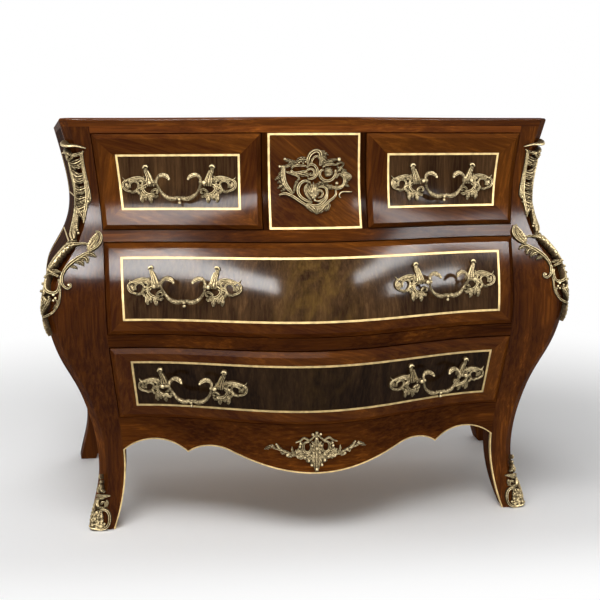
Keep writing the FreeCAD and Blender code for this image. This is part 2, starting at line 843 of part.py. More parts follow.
def string_ring(base, top, side, below, above, shift=0.0, inner_x=None, proud=None):
    """A brass line laid on the front face: a frame of constant width, following the stiles."""
    width = float(S.string_width)
    left = -WIDE if inner_x is None else inner_x + side

    def field(grow):
        low = Part.makeBox(2 * FAR, 2 * FAR, float(top) - float(base) - below - above + 2 * grow,
                           V(float(left) - grow if inner_x is not None else -FAR, -FAR,
                             float(base) + below - grow))
        edge = post_zone(-side - shift + grow)
        low = low.cut(edge)
        return low.cut(mirrored(edge)) if inner_x is None else low
    return laid_on_front(field(width / 2).cut(field(-width / 2)), float(proud))


def margins(d):
    """How far the stringing stands in from the front's outline: side, bottom, top."""
    if d.inner_x is not None:
        chosen = (S.small_string_side_margin, S.small_string_bottom_margin, S.small_string_top_margin)
    elif d is lower:
        chosen = (S.lower_string_side_margin, S.string_bottom_margin, S.string_top_margin)
    else:
        chosen = (S.string_side_margin, S.string_bottom_margin, S.string_top_margin)
    return [float(margin) for margin in chosen]


def stringing(d):
    side, below, above = margins(d)
    gap = float(S.front_gap)
    inner = None if d.inner_x is None else float(d.inner_x) + gap
    return string_ring(d.base, d.top, side, below, above, gap, inner, S.front_proud)


# ---------------------------------------------------------------- handles

# Rosette: leafy back plate, seen from the front; outwards from the pivot, and up.
ROSETTE = [(-1, -16), (2, -30), (9, -36), (21, -32), (28, -18), (24, -12), (48, -10), (59, 4), (56, 13),
           (29, 10), (26, 28), (21, 34), (15, 24), (8, 8), (0, 6)]
# Right half of a bail whose posts stand 92 apart, as arcs: first point, a point on the way, last point.
BAIL_OUTER = [((0, -33), (16, -31), (30, -25.4)), ((30, -25.4), (41, -14.6), (44.8, 0)),
              ((44.8, 0), (36, 17.1), (22.5, 10.6)), ((22.5, 10.6), (25.2, 6.6), (29.3, 9))]
BAIL_INNER = [((29.3, 9), (36.5, 8.5), (38.9, 0.6)), ((38.9, 0.6), (35.6, -11), (27, -20.4)),
              ((27, -20.4), (14, -25.8), (0, -27.5))]
BAIL_SPACING = 92.0
BAIL_ARM = 41.0
BAIL_LEAF = [(-12, -31), (-6, -36), (0, -41), (6, -36), (12, -31), (6, -25), (0, -22), (-6, -25)]


class HandleFrame:
    """Where a handle of the right half sits: along the front, out of it and up, from its pivots' level."""

    def __init__(self, x, level):
        half = float(S.post_spacing) / 2
        self.level = float(level)
        ends = [V(x + sign * half, front_y(x + sign * half, self.level) - float(S.front_proud), self.level)
                for sign in (-1, 1)]
        self.middle = (ends[0] + ends[1]) * 0.5
        self.along = (ends[1] - ends[0]).normalize()
        self.out = V(self.along.y, -self.along.x, 0)

    def at(self, u, n, z):
        return self.middle + self.along * float(u) + self.out * float(n) + V(0, 0, float(z))

    def out_from(self, y, u):
        """How far out a point of the front lies whose x is that of a place along the handle."""
        return (y - self.at(u, 0, 0).y) * self.out.y

    def slab(self, edges, thickness):
        """An outline in the handle's upright plane, given a thickness outwards."""
        return Part.Face(Part.Wire(edges)).extrude(self.out * float(thickness))

    def polygon(self, points, n):
        corners = [self.at(u, n, z) for u, z in points]
        return Part.makePolygon(corners + [corners[0]]).Edges

    def arcs(self, runs, n):
        return [Part.Arc(*[self.at(u, n, z) for u, z in run]).toShape() for run in runs]


def rosette(frame, sign):
    """A leafy plate on the drawer front with the eye that holds one end of the bail."""
    half = float(S.post_spacing) / 2
    proud = float(S.front_proud)
    outline = [(sign * (half + u), z) for u, z in ROSETTE]
    rim = [frame.level + z for u, z in ROSETTE]
    reach = [frame.out_from(front_y(frame.at(u, 0, z).x, level) - proud, u)
             for (u, z), level in zip(outline, rim)]
    face = max(reach) + float(S.rosette_thickness) / 2
    plate = frame.slab(frame.polygon(outline, -30), face + 30)
    eye_r, post = float(S.eye_radius), float(S.post_reach)
    a = sign * half
    corners = [frame.at(a, -6, -eye_r), frame.at(a, post, -eye_r), frame.at(a, post + eye_r, 0),
               frame.at(a, post, eye_r), frame.at(a, -6, eye_r)]
    edges = [Part.LineSegment(corners[0], corners[1]).toShape(), Part.Arc(*corners[1:4]).toShape(),
             Part.LineSegment(corners[3], corners[4]).toShape(),
             Part.LineSegment(corners[4], corners[0]).toShape()]
    eye = Part.Face(Part.Wire(edges)).extrude(frame.along * (sign * float(S.eye_width)))
    bore_r = float(S.pin_radius) + float(S.pin_clearance)
    bore = Part.makeCylinder(bore_r, float(S.pin_depth), frame.at(a, post, 0), frame.along * sign)
    return plate.fuse(eye).cut(body_behind(proud)).cut(bore)


def bail(frame):
    """The hanging bow with its scrolls, middle leaf and the two pins it turns on."""
    thick, reach = float(S.bail_thickness), float(S.post_reach)
    n = reach - thick / 2
    stretch = float(S.post_spacing) / BAIL_SPACING
    right = [[(u * stretch, z) for u, z in run] for run in BAIL_OUTER + BAIL_INNER]
    left = [[(-u, z) for u, z in reversed(run)] for run in reversed(right)]
    bow = frame.slab(frame.arcs(right + left, n), thick)
    leaf = frame.slab(frame.polygon(BAIL_LEAF, n - 1.5), thick + 3)
    body = bow.fuse(leaf)
    arm = BAIL_ARM * stretch
    length = float(S.post_spacing) / 2 - arm + float(S.pin_depth) - 0.5
    for sign in (-1, 1):
        start = frame.at(sign * (arm - 2), reach, 0)
        pin = Part.makeCylinder(float(S.pin_radius), length + 2, start, frame.along * sign)
        body = body.fuse(pin)
    return body.removeSplitter()


HANDLES = {"upper": (S.upper_handle_x, S.upper_handle_level),
           "middle": (S.middle_handle_x, S.middle_handle_level),
           "lower": (S.lower_handle_x, S.lower_handle_level)}
handle_frames = {name: HandleFrame(float(x), level) for name, (x, level) in HANDLES.items()}
plates = {name: [rosette(frame, -1), rosette(frame, 1)] for name, frame in handle_frames.items()}
bails = {}
for name, frame in handle_frames.items():
    right = keep(name + "_right_bail", bail(frame))
    bails[name + "_right_bail"] = right
    bails[name + "_left_bail"] = mirror_piece(name + "_left_bail", right)

# ---------------------------------------------------------------- drawers put together


def compound(name, *pieces):
    """Separate like pieces kept in one node."""
    piece = doc.addObject("Part::Compound", name)
    piece.Links = list(pieces)
    piece.Label = name
    return piece


def wide_drawer(d, handle):
    front, zone = drawer_front(d)
    sides = compound(d.name + "_sides", *drawer_sides(d, zone))
    shapes = plates[handle]
    return [front, sides, drawer_back(d), drawer_bottom(d, zone),
            keep(d.name + "_stringing", stringing(d)),
            group(d.name + "_handle_plates", shapes + [mirrored(shape) for shape in shapes])]


nodes = []
nodes += wide_drawer(lower, "lower")
nodes += wide_drawer(middle, "middle")

small.name = "upper_right_drawer"
small_front, small_zone = drawer_front(small)
small_sides = compound("upper_right_drawer_sides", *drawer_sides(small, small_zone))
small_pieces = [small_front, small_sides, drawer_back(small), drawer_bottom(small, small_zone),
                keep("upper_right_drawer_stringing", stringing(small)),
                group("upper_right_drawer_handle_plates", plates["upper"])]
nodes += small_pieces
nodes += [mirror_piece(piece.Label.replace("right", "left"), piece) for piece in small_pieces]
nodes += list(bails.values())

# ---------------------------------------------------------------- runners, stops and partitions

OUT = S.guide_clearance + S.guide_thickness


def runner(name, box_x, board_top, base):
    """An L-shaped runner: the drawer slides on its foot, beside its upright guide."""
    inner = box_x - S.runner_width
    near = box_x + S.guide_clearance
    far = box_x + OUT
    points = [(inner, board_top), (far, board_top), (far, base + S.guide_height),
              (near, base + S.guide_height), (near, base), (inner, base)]
    return prism(name, "front", points, frame_back, back_panel_front - frame_back)


lower_board_top = bottom_level + S.bottom_board_thickness
middle_board_top = lower_top + S.dust_board_thickness
upper_board_top = middle_top + S.dust_board_thickness
runners = [runner("lower_runner", lower.box_x, lower_board_top, lower.base),
           runner("middle_runner", middle.box_x, middle_board_top, middle.base),
           runner("upper_runner", small.box_x, upper_board_top, small.base),
           box("inner_runner", (S.inner_runner_near, frame_back, upper_board_top),
               (S.inner_runner_far, back_panel_front, upper_base))]
runners += [mirror_piece(piece.Name + "_left", piece) for piece in list(runners)]
drawer_runners = compound("drawer_runners", *runners)


def stop(name, x, base):
    """A block on the runner, against the back panel, that the drawer's side meets when shut."""
    return box(name, (x - S.stop_width, back_panel_front - S.stop_depth, base),
               (x, back_panel_front, base + S.stop_height))


stops = [stop("lower_stop", lower.box_x, lower.base), stop("middle_stop", middle.box_x, middle.base),
         stop("upper_stop", small.box_x, small.base),
         stop("inner_stop", S.inner_runner_far, small.base)]
stops += [mirror_piece(piece.Name + "_left", piece) for piece in list(stops)]
drawer_stops = compound("drawer_stops", *stops)
drawer_partitions = compound("drawer_partitions", right_partition,
                             mirror_piece("left_partition", right_partition))

# ---------------------------------------------------------------- brass on the carcass


def front_layer(thickness, inside=0.0):
    """A skin on the carcass front: how far it stands out, and how far it reaches in."""
    return body_behind(thickness).cut(body_behind(-inside))


def panel_ring():
    """A brass line round the border of the middle panel."""
    half = float(S.partition_inner_x) - float(S.panel_string_margin)
    low, high = float(upper_base) + float(S.panel_string_margin), float(upper_top) - float(S.panel_string_margin)
    width = float(S.string_width)
    outer = block((-half, -FAR, low), (half, 0, high))
    inner = block((-half + width, -FAR, low + width), (half - width, 0, high - width))
    return laid_on_front(outer.cut(inner), 0.0)


center_panel_stringing = keep("center_panel_stringing", panel_ring())


def brass_edge():
    """Brass strips under the apron and down the inner edges of both front legs."""
    skin = front_layer(float(S.string_thickness), float(S.brass_edge_width))
    thick = float(S.brass_edge_thickness)
    below = apron_zone(thick)
    strip = below.cut(apron_zone(0.0)).cut(both_sides(POST_ZONE)).common(skin)
    leg = post_zone(-thick).cut(POST_ZONE).cut(below)
    leg = leg.common(block((0, -FAR, 0), (FAR, 0, S.leg_top_level))).common(skin)
    return Part.Compound(strip.Solids + leg.Solids + mirrored(leg).Solids)


apron_brass_edge = keep("apron_brass_edge", brass_edge())

# Outlines of the gilt mounts, seen from the front; right-hand ones reach round the corner.
SHOULDER = [(398, 584), (403, 566), (419, 555), (410, 547), (426, 533), (455, 525), (463, 508), (455, 497),
            (471, 489), (476, 468), (486, 451), (502, 438), (498, 403), (530, 408), (530, 500), (494, 531),
            (476, 554), (452, 576), (426, 573), (410, 592)]
SHOULDER_SLOT = [(430, 565), (450, 560), (478, 528), (472, 525), (452, 548), (431, 559)]
UPPER_CORNER = [(530, 757), (451, 757), (423, 746), (428, 736), (425, 699), (416, 646), (424, 640),
                (428, 610), (438, 611), (441, 602), (437, 588), (447, 580), (530, 590), (530, 740)]
UPPER_CORNER_SLOT = [(434, 722), (441, 722), (439, 680), (435, 655), (431, 660)]
FOOT = [(422, 106), (427, 84), (434, 50), (440, 21), (530, 21), (530, 0), (414, 0), (408, 13), (414, 38),
        (411, 53), (406, 64), (415, 70), (419, 90)]
APRON_HALF = [(0, 221), (14, 215), (21, 204), (31, 208), (42, 199), (42, 186), (62, 180), (86, 192),
              (105, 200), (70, 178), (62, 171), (33, 166), (21, 157), (15, 150), (4, 138), (0, 138)]
CARTOUCHE = [(3, 743), (-17, 730), (-31, 726), (-55, 726), (-67, 712), (-75, 687), (-67, 656), (-46, 655),
             (-21, 641), (-15, 633), (3, 621), (25, 633), (40, 649), (71, 661), (73, 690), (60, 716),
             (50, 726), (22, 735)]
CARTOUCHE_HOLES = [[(-56, 690), (-43, 697), (-36, 672), (-50, 668)], [(-4, 721), (5, 729), (10, 715)]]


def mount(outline, holes, form):
    """A cast plate that follows the form under it."""
    shape = flat_outline(outline, "front", -FAR, 2 * FAR)
    for hole in holes:
        shape = shape.cut(flat_outline(hole, "front", -FAR, 2 * FAR))
    return shape.common(form)


thick = float(S.mount_thickness)
corner_skin = corner_body(thick, 0.0, float(carcass_top)).cut(corner_body(0.0, -BELOW, float(chest_top)))
corner_skin = corner_skin.cut(corner_front(-float(S.mount_wrap)).extrude(V(0, 4 * FAR, 0)))
front_skin = front_layer(thick)


def corner_mounts(name, outline, holes):
    """The right and the left mount of a pair, in one node."""
    right_mount = mount(outline, holes, corner_skin)
    return group(name, [right_mount, mirrored(right_mount)])


mounts = [corner_mounts("shoulder_mounts", SHOULDER, [SHOULDER_SLOT]),
          corner_mounts("upper_corner_mounts", UPPER_CORNER, [UPPER_CORNER_SLOT]),
          corner_mounts("foot_mounts", FOOT, [])]
apron_outline_points = APRON_HALF + [(-x, z) for x, z in reversed(APRON_HALF[1:-1])]
mounts.append(keep("apron_mount", mount(apron_outline_points, [], front_skin)))
mounts.append(keep("center_panel_mount", mount(CARTOUCHE, CARTOUCHE_HOLES, front_skin)))

nodes += [top_board, top_rail, upper_rail, middle_rail, front_apron, front_left_post, front_right_post,
          rear_left_post, rear_right_post, left_side_panel, right_side_panel, back_panel, bottom_board,
          upper_dust_board, lower_dust_board, center_panel, center_panel_stringing, drawer_partitions,
          drawer_runners, drawer_stops, apron_brass_edge]
nodes += mounts

# ---------------------------------------------------------------- checks and STEP files

doc.recompute()
problems = []
for piece in doc.Objects:
    if "Invalid" in piece.State or "Error" in piece.State:
        problems.append("%s is %s" % (piece.Label, piece.State))
for piece in nodes:
    if piece.Shape.isNull() or not piece.Shape.isValid() or not piece.Shape.Solids:
        problems.append("%s has no valid solid" % piece.Label)
if problems:
    raise RuntimeError("; ".join(problems))
os.makedirs("parts", exist_ok=True)
for piece in nodes:
    piece.Shape.exportStep("parts/%s.step" % piece.Label)
print("%d pieces written" % len(nodes))
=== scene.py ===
import json
import math
import bpy
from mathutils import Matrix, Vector
from mathutils.bvhtree import BVHTree


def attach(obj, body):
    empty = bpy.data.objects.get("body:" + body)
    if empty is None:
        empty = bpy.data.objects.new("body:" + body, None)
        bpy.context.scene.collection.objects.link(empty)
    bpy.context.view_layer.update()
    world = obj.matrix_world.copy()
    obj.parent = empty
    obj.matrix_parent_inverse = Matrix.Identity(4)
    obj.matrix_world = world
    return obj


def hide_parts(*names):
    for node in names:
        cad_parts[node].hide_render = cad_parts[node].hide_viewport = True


bl_info = {
    "name": "Bombe chest dressing",
    "version": (1, 0, 0),
    "blender": (4, 5, 0),
    "location": "View3D > Sidebar > Chest",
    "description": "Veneers, gilt castings, handles and studio for a bombe chest of drawers",
    "category": "Object",
}

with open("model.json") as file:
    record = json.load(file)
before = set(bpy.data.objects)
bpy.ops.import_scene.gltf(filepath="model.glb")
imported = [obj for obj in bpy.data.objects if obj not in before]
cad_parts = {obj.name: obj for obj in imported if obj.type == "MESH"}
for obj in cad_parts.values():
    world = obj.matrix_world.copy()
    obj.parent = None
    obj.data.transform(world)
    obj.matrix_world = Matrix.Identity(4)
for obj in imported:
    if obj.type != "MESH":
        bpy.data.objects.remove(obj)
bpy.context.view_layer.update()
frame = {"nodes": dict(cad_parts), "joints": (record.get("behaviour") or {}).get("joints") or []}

MM = 0.001
FRONT_PROUD = 12.0  # how far a drawer's front stands out from the carcass, in millimetres
DRAWERS = ["upper_left_drawer", "upper_right_drawer", "middle_drawer", "lower_drawer"]
LEVEL_OF = {"upper": "upper_right_drawer", "middle": "middle_drawer", "lower": "lower_drawer"}

# ---------------------------------------------------------------- form of the chest, in millimetres

TOP = 800.0
BACK = 284.0  # y of the back
FLARE = 84.0  # how much the side widens from the front corner to the back
CANT = 14.0  # width of the canted corner
ROUND, KNEE = 10.0, 1.5  # half the run of the rounded corner, and how far its knee lies inside the outline
BOW_FLOOR, BOW_TOP, BOW_HALF = 115.0, 40.0, 370.0  # depth of the bow at floor and top, and its half width
FEELER = 0.5  # step for the slope of a face
# level and reach from the back, then level and half width at the front corner
REACH = [(0, 448), (150, 426), (430, 480), (690, 421), (800, 432)]
HALF_WIDTH = [(0, 445), (110, 423), (200, 432), (290, 455), (375, 489), (450, 502), (520, 488),
              (575, 452), (640, 439), (720, 449), (800, 468)]


def slope(stations, k):
    """Tangent of a profile at station k, flat where the profile turns back."""
    def chord(i):
        return (stations[i + 1][1] - stations[i][1]) / (stations[i + 1][0] - stations[i][0])
    if k == 0:
        return chord(0)
    if k == len(stations) - 1:
        return chord(k - 1)
    before, after = chord(k - 1), chord(k)
    return 0.0 if before * after <= 0 else 2 * before * after / (before + after)


def profile(stations, level):
    """A smooth profile through its stations."""
    first, last = stations[0], stations[-1]
    if level <= first[0]:
        return first[1] + slope(stations, 0) * (level - first[0])
    if level >= last[0]:
        return last[1] + slope(stations, len(stations) - 1) * (level - last[0])
    k = max(i for i in range(len(stations) - 1) if stations[i][0] <= level)
    low, high = stations[k], stations[k + 1]
    span = high[0] - low[0]
    t = (level - low[0]) / span
    value = (2 * t ** 3 - 3 * t * t + 1) * low[1] + (3 * t * t - 2 * t ** 3) * high[1]
    value += (t ** 3 - 2 * t * t + t) * span * slope(stations, k)
    return value + (t ** 3 - t * t) * span * slope(stations, k + 1)


def front_y(x, z):
    """Front face of the carcass: a bow that dies out towards the corners."""
    bow = BOW_FLOOR + (BOW_TOP - BOW_FLOOR) * z / TOP
    swell = math.cos(math.pi * x / (2 * BOW_HALF)) ** 2 if abs(x) < BOW_HALF else 0.0
    return BACK - profile(REACH, z) - bow * swell


def side_x(y, z):
    """Side face of the carcass, which flares towards the back."""
    reach = profile(REACH, z)
    return profile(HALF_WIDTH, z) + FLARE * (y - BACK + reach) / reach


def on_front(stand_off):
    """Places a point by its width, level and height above the front, or above a drawer's front."""
    def place(x, z, height):
        dx = (front_y(x + FEELER, z) - front_y(x - FEELER, z)) / (2 * FEELER)
        dz = (front_y(x, z + FEELER) - front_y(x, z - FEELER)) / (2 * FEELER)
        out = Vector((dx, -1.0, dz)).normalized()
        return (Vector((x, front_y(x, z) - stand_off, z)) + out * height) * MM
    return place


def corner_section(u, z):
    """A point of the outline in plan at a level, by its way round the corner from the cant's middle."""
    half, y = profile(HALF_WIDTH, z), BACK - profile(REACH, z)
    run = Vector((FLARE, profile(REACH, z))).normalized()
    start = Vector((half - CANT, y))
    end = Vector((half, y + CANT))
    if u < -ROUND:
        return start + Vector((u + ROUND, 0.0))
    if u > ROUND:
        return end + run * (u - ROUND)
    t = (u + ROUND) / (2 * ROUND)
    knee = Vector((half - KNEE, y + KNEE))
    return start * (1 - t) ** 2 + knee * (2 * t * (1 - t)) + end * t ** 2


def on_corner(u, z, height):
    """Places a point round the right front corner, by its way from the cant's middle and its level."""
    step = 1.0
    here, ahead, behind = corner_section(u, z), corner_section(u + step, z), corner_section(u - step, z)
    above, below = corner_section(u, z + step), corner_section(u, z - step)
    along = Vector((*(ahead - behind), 0.0))
    upward = Vector((*(above - below), 2 * step))
    out = along.cross(upward).normalized()
    return (Vector((here.x, here.y, z)) + out * height) * MM


def at_corner(x, z, height):
    """The same for a point given by its distance from the chest's middle."""
    return on_corner(x - profile(HALF_WIDTH, z) + CANT / 2, z, height)


LIFT_INSIDE, LIFT_RUN = 6.0, 16.0  # where a standing casting starts to lift, and over how much it does


def standing(place, rise):
    """Lifts what lies on the arris and the side of the corner further off the wood."""
    def lifted(x, z, height):
        if height <= 0:
            return place(x, z, height)
        share = min(1.0, max(0.0, (x - profile(HALF_WIDTH, z) + CANT + LIFT_INSIDE) / LIFT_RUN))
        return place(x, z, height + rise * share * share * (3 - 2 * share))
    return lifted


def on_side(context):
    """Places a point on the right side, where a feeler from outside meets the wood."""
    graph = context.evaluated_depsgraph_get()
    inward = Vector((-1.0, 0.0, 0.0))

    def place(y, z, height):
        dy = (side_x(y + FEELER, z) - side_x(y - FEELER, z)) / (2 * FEELER)
        dz = (side_x(y, z + FEELER) - side_x(y, z - FEELER)) / (2 * FEELER)
        out = Vector((1.0, -dy, -dz)).normalized()
        met, spot = context.scene.ray_cast(graph, Vector((1.0, y * MM, z * MM)), inward)[:2]
        if not met:
            raise RuntimeError(f"No side at {y:.0f}, {z:.0f}")
        return spot + out * height * MM
    return place


# ---------------------------------------------------------------- castings


def chart(origin, corner, scale, lean=0.0):
    """Turns positions in a drawing, whose y runs down, into places on a face, in millimetres.

    The drawing's origin lies at the corner, a step across and down is as long as scale says, and lean shifts
    a place sideways for each step down.
    """
    def places(*points):
        return [(corner[0] + (x - origin[0]) * scale[0] + (y - origin[1]) * lean,
                 corner[1] + (y - origin[1]) * scale[1]) for x, y in points]
    return places


def smooth_run(points, step):
    """Points along a smooth curve through the given ones, about a step apart."""
    runs = [Vector(p) for p in points]
    runs = [runs[0] * 2 - runs[1]] + runs + [runs[-1] * 2 - runs[-2]]
    out = []
    for a, b, c, d in zip(runs, runs[1:], runs[2:], runs[3:]):
        count = max(2, int(math.ceil((c - b).length / step)))
        for k in range(count):
            t = k / count
            out.append(0.5 * (2 * b + (c - a) * t + (2 * a - 5 * b + 4 * c - d) * t ** 2
                              + (3 * b - a - 3 * c + d) * t ** 3))
    out.append(runs[-2])
    return out


def eased(values, t):
    """A value between the given ones, which stand at equal steps."""
    if not isinstance(values, (list, tuple)):
        return values
    place = t * (len(values) - 1)
    k = min(int(place), len(values) - 2)
    share = place - k
    share = share * share * (3 - 2 * share)
    return values[k] * (1 - share) + values[k + 1] * share


# Sections: the height of a lobe across its width, for v from -1 to 1.


def rounded(v):
    """Half a circle."""
    return math.sqrt(max(0.0, 1 - v * v))


def reeded(v):
    """Two rims with a hollow between them."""
    return (0.22 + 0.78 * math.sin(math.pi * abs(v) ** 0.9) ** 1.5) * (1 - v ** 10)


def leafy(v):
    """A midrib, hollows beside it and lifted edges."""
    return (0.6 + 0.4 * math.cos(8.0 * v)) * (1 - v ** 8)


def ribbed(v):
    """Three ribs side by side."""
    return (0.72 + 0.28 * math.cos(2.9 * math.pi * v)) * (1 - v ** 10)


def ridged(v):
    """A sharp crest."""
    return (1 - abs(v)) ** 0.8


def flat_topped(v):
    """A flat top with eased edges."""
    return 1 - v ** 12


LEAST_WIDTH, LEAST_CREST, LEAST_SHARE = 0.12, 0.1, 0.05  # so that no lobe closes up
VEIN_SLANT, VEIN_EDGE, LEAST_VEINS = 0.9, 1.15, 3
# the relief of an undercut lobe's sides and foot also sets how much painted shade they get
SIDE_RELIEF, FOOT_RELIEF = 0.5, 0.75  # of an undercut lobe, as shares of its undercut
BEAD_ROWS, BEAD_PITCH = 7, 1.75  # rings of a bead, and the way to the next one in radii
BEAD_STEP = 0.4
ROD_SIDES, LEAST_ROD, ROD_RELIEF, TURNED_RELIEF = 12, 0.15, 0.75, 0.8
FLOOR_GAP = 0.5  # the lowest that a casting reaches


class Casting:
    """One cast piece, gathered lobe by lobe on the face it is laid on.

    place puts a point by its position on the face and its height above it, step is the way between two
    rings of a lobe, in millimetres, and across the number of points over its top. With an undercut, the foot
    of a lobe is narrower than its top by that share. A lobe's height is given in units of so many millimetres.
    relief, from 0 in a hollow to 1 on a crest, sets the gilding's colour: partly patina and wear, partly painted
    shade in the hollows and painted highlight on the crests.
    """

    def __init__(self, place, step=1.4, across=11, undercut=0.0, unit=1.0):
        self.place = place
        self.step = step
        self.across = across
        self.undercut = undercut
        self.unit = unit
        self.corners, self.faces, self.relief = [], [], []

    def ring(self, points, relief):
        """Adds points and gives their numbers."""
        first = len(self.corners)
        self.corners += points
        self.relief += relief
        return list(range(first, len(self.corners)))

    def skin(self, rings):
        """Joins rings of points into a closed tube."""
        for low, high in zip(rings, rings[1:]):
            count = len(low)
            for k in range(count):
                self.faces.append((low[k], low[(k + 1) % count], high[(k + 1) % count], high[k]))
        self.faces.append(tuple(reversed(rings[0])))
        self.faces.append(tuple(rings[-1]))

    def lobe(self, path, width, height, section=leafy, scallops=0, bite=0.4, veins=0.0, sink=-1.2, one_sided=0):
        """A leaf, scroll or reed along a path: half width and height change along it.

        Scallops notch its edges, on one side only where one_sided says which, and sink is its foot's height.
        """
        run = smooth_run(path, self.step)
        last = len(run) - 1
        rings = []
        for i, here in enumerate(run):
            t = i / last
            ahead, behind = run[min(i + 1, last)], run[max(i - 1, 0)]
            along = (ahead - behind).normalized()
            side = Vector((-along[1], along[0]))
            half, crest = max(eased(width, t), LEAST_WIDTH), max(eased(height, t) * self.unit, LEAST_CREST)
            notch = 1.0
            if scallops:
                notch = 1 - bite * (1 - abs(math.sin(math.pi * scallops * t)) ** 0.5)
            points, relief = [], []
            for k in range(self.across):
                v = 1 - 2 * k / (self.across - 1)
                spread = notch if one_sided == 0 or v * one_sided > 0 else 1.0
                shape = section(v)
                if veins:
                    wave = math.sin(2 * math.pi * (max(scallops, LEAST_VEINS) * t - VEIN_SLANT * abs(v)))
                    shape += veins * wave * abs(v) * (VEIN_EDGE - abs(v)) * 2
                spot = (here[0] + side[0] * half * v * spread, here[1] + side[1] * half * v * spread)
                points.append(self.place(spot[0], spot[1], crest * max(shape, LEAST_SHARE)))
                relief.append(min(1.0, max(SIDE_RELIEF * self.undercut, shape)))
            for v in (-1.0, 1.0):
                spread = (notch if one_sided == 0 or v * one_sided > 0 else 1.0) * (1.0 - self.undercut)
                spot = (here[0] + side[0] * half * v * spread, here[1] + side[1] * half * v * spread)
                points.append(self.place(spot[0], spot[1], sink))
                relief.append(FOOT_RELIEF * self.undercut)
            rings.append(self.ring(points, relief))
        self.skin(rings)

    def leaves(self, places, widths, heights, *rows, section=leafy, **more):
        """Like lobes, each given by its half width, of which it has these shares, and its path."""
        for width, *path in rows:
            self.lobe(places(*path), [width * share for share in widths], heights, section, **more)

    def balls(self, places, height, *rows):
        """Beads at one height, each given by its position and radius."""
        for x, y, radius in rows:
            self.ball(*places((x, y))[0], radius, height)

    def ball(self, u, z, radius, height):
        """A bead standing on the face."""
        out = (self.place(u, z, 1.0) - self.place(u, z, 0.0)).normalized()
        self.bead(self.place(u, z, height), radius * MM, out)

    def bead(self, centre, radius, out, rows=BEAD_ROWS):
        """A bead about a point in space, its poles along out."""
        side = out.orthogonal().normalized()
        other = out.cross(side)
        rings = []
        for i in range(1, rows):
            tilt = math.pi * i / rows
            points = []
            for k in range(2 * rows):
                turn = math.pi * k / rows
                flat = side * math.cos(turn) + other * math.sin(turn)
                points.append(centre + (flat * math.sin(tilt) - out * math.cos(tilt)) * radius)
            # a bead's relief runs from 0 where it meets the wood to 1 at its outer pole: painted shade at its
            # foot, painted highlight on its top
            rings.append(self.ring(points, [0.5 - 0.5 * math.cos(tilt)] * len(points)))
        self.skin(rings)

    def beads(self, points, radius, height):
        """A row of beads along a path, growing or shrinking as the radii say."""
        run = smooth_run(points, BEAD_STEP)
        total = sum((b - a).length for a, b in zip(run, run[1:]))
        gone, next_at = 0.0, 0.0
        for a, b in zip(run, run[1:]):
            if gone >= next_at:
                size = eased(radius, gone / total)
                self.ball(a[0], a[1], size, height)
                next_at = gone + BEAD_PITCH * size
            gone += (b - a).length

    def fan(self, root, length, start, end, count, width, height):
        """Leaves spreading from a root, as in a shell or a palmette; angles in degrees."""
        for k in range(count):
            share = k / (count - 1.0)
            angle = math.radians(start + (end - start) * share)
            reach = eased(length, share)
            run = [root] + [(root[0] + part * reach * math.cos(angle), root[1] + part * reach * math.sin(angle))
                            for part in (0.55, 1.0)]
            self.lobe(run, [width * part for part in (0.35, 0.8, 1.0, 0.9, 0.2)],
                      [height * part for part in (0.5, 0.9, 1.0, 0.8, 0.3)])

    def bar(self, points, radii, flat=1.0):
        """A rod through points in space, round or flattened towards the front; radii in millimetres."""
        run = smooth_run(points, self.step * MM)
        turns = [2 * math.pi * k / ROD_SIDES for k in range(ROD_SIDES)]
        last = len(run) - 1
        up = None
        rings = []
        for i, here in enumerate(run):
            along = (run[min(i + 1, last)] - run[max(i - 1, 0)]).normalized()
            if up is None:
                up = along.orthogonal().normalized()
            up = (up - along * up.dot(along)).normalized()
            side = along.cross(up)
            radius = max(eased(radii, i / last), LEAST_ROD) * MM
            ring = [here + (up * math.cos(turn) * radius + side * math.sin(turn) * radius * flat)
                    for turn in turns]
            rings.append(self.ring(ring, [ROD_RELIEF] * ROD_SIDES))
        self.skin(rings)

    def turned(self, foot, out, outline, sides=20):
        """A turned knob: its outline gives a distance along its axis and a radius, in millimetres."""
        side = out.orthogonal().normalized()
        other = out.cross(side)
        turns = [2 * math.pi * k / sides for k in range(sides)]
        rings = []
        for reach, radius in outline:
            ring = [foot + (out * reach + (side * math.cos(turn) + other * math.sin(turn)) * radius) * MM
                    for turn in turns]
            rings.append(self.ring(ring, [TURNED_RELIEF] * sides))
        self.skin(rings)

    def mirror_image(self):
        """Its left-hand twin, mirrored about the chest's middle."""
        twin = Casting(self.place)
        twin.corners = [Vector((-c.x, c.y, c.z)) for c in self.corners]
        twin.relief = list(self.relief)
        twin.faces = [tuple(reversed(face)) for face in self.faces]
        return twin

    def mirrored(self):
        """The same with its twin, as one piece."""
        twin = self.mirror_image()
        first = len(self.corners)
        self.corners += twin.corners
        self.relief += twin.relief
        self.faces += [tuple(first + i for i in face) for face in twin.faces]
        return self

    def grounded(self):
        """Keeps every corner on or above the floor."""
        for corner in self.corners:
            corner.z = max(corner.z, FLOOR_GAP * MM)
        return self

    def piece(self, name, finish, body, slot, replaced=()):
        """Makes the piece, which rides on a body and stands in for the CAD nodes that it replaces."""
        mesh = bpy.data.meshes.new(name)
        mesh.from_pydata([tuple(c) for c in self.corners], [], self.faces)
        mesh.polygons.foreach_set("use_smooth", [len(face) == 4 for face in self.faces])
        relief = mesh.attributes.new("relief", "FLOAT", "POINT")
        relief.data.foreach_set("value", self.relief)
        mesh.materials.append(FINISHES[finish])
        mesh.update()
        made = bpy.data.objects.new(name, mesh)
        bpy.context.scene.collection.objects.link(made)
        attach(made, body)
        if replaced:
            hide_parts(*replaced)


# ---------------------------------------------------------------- materials


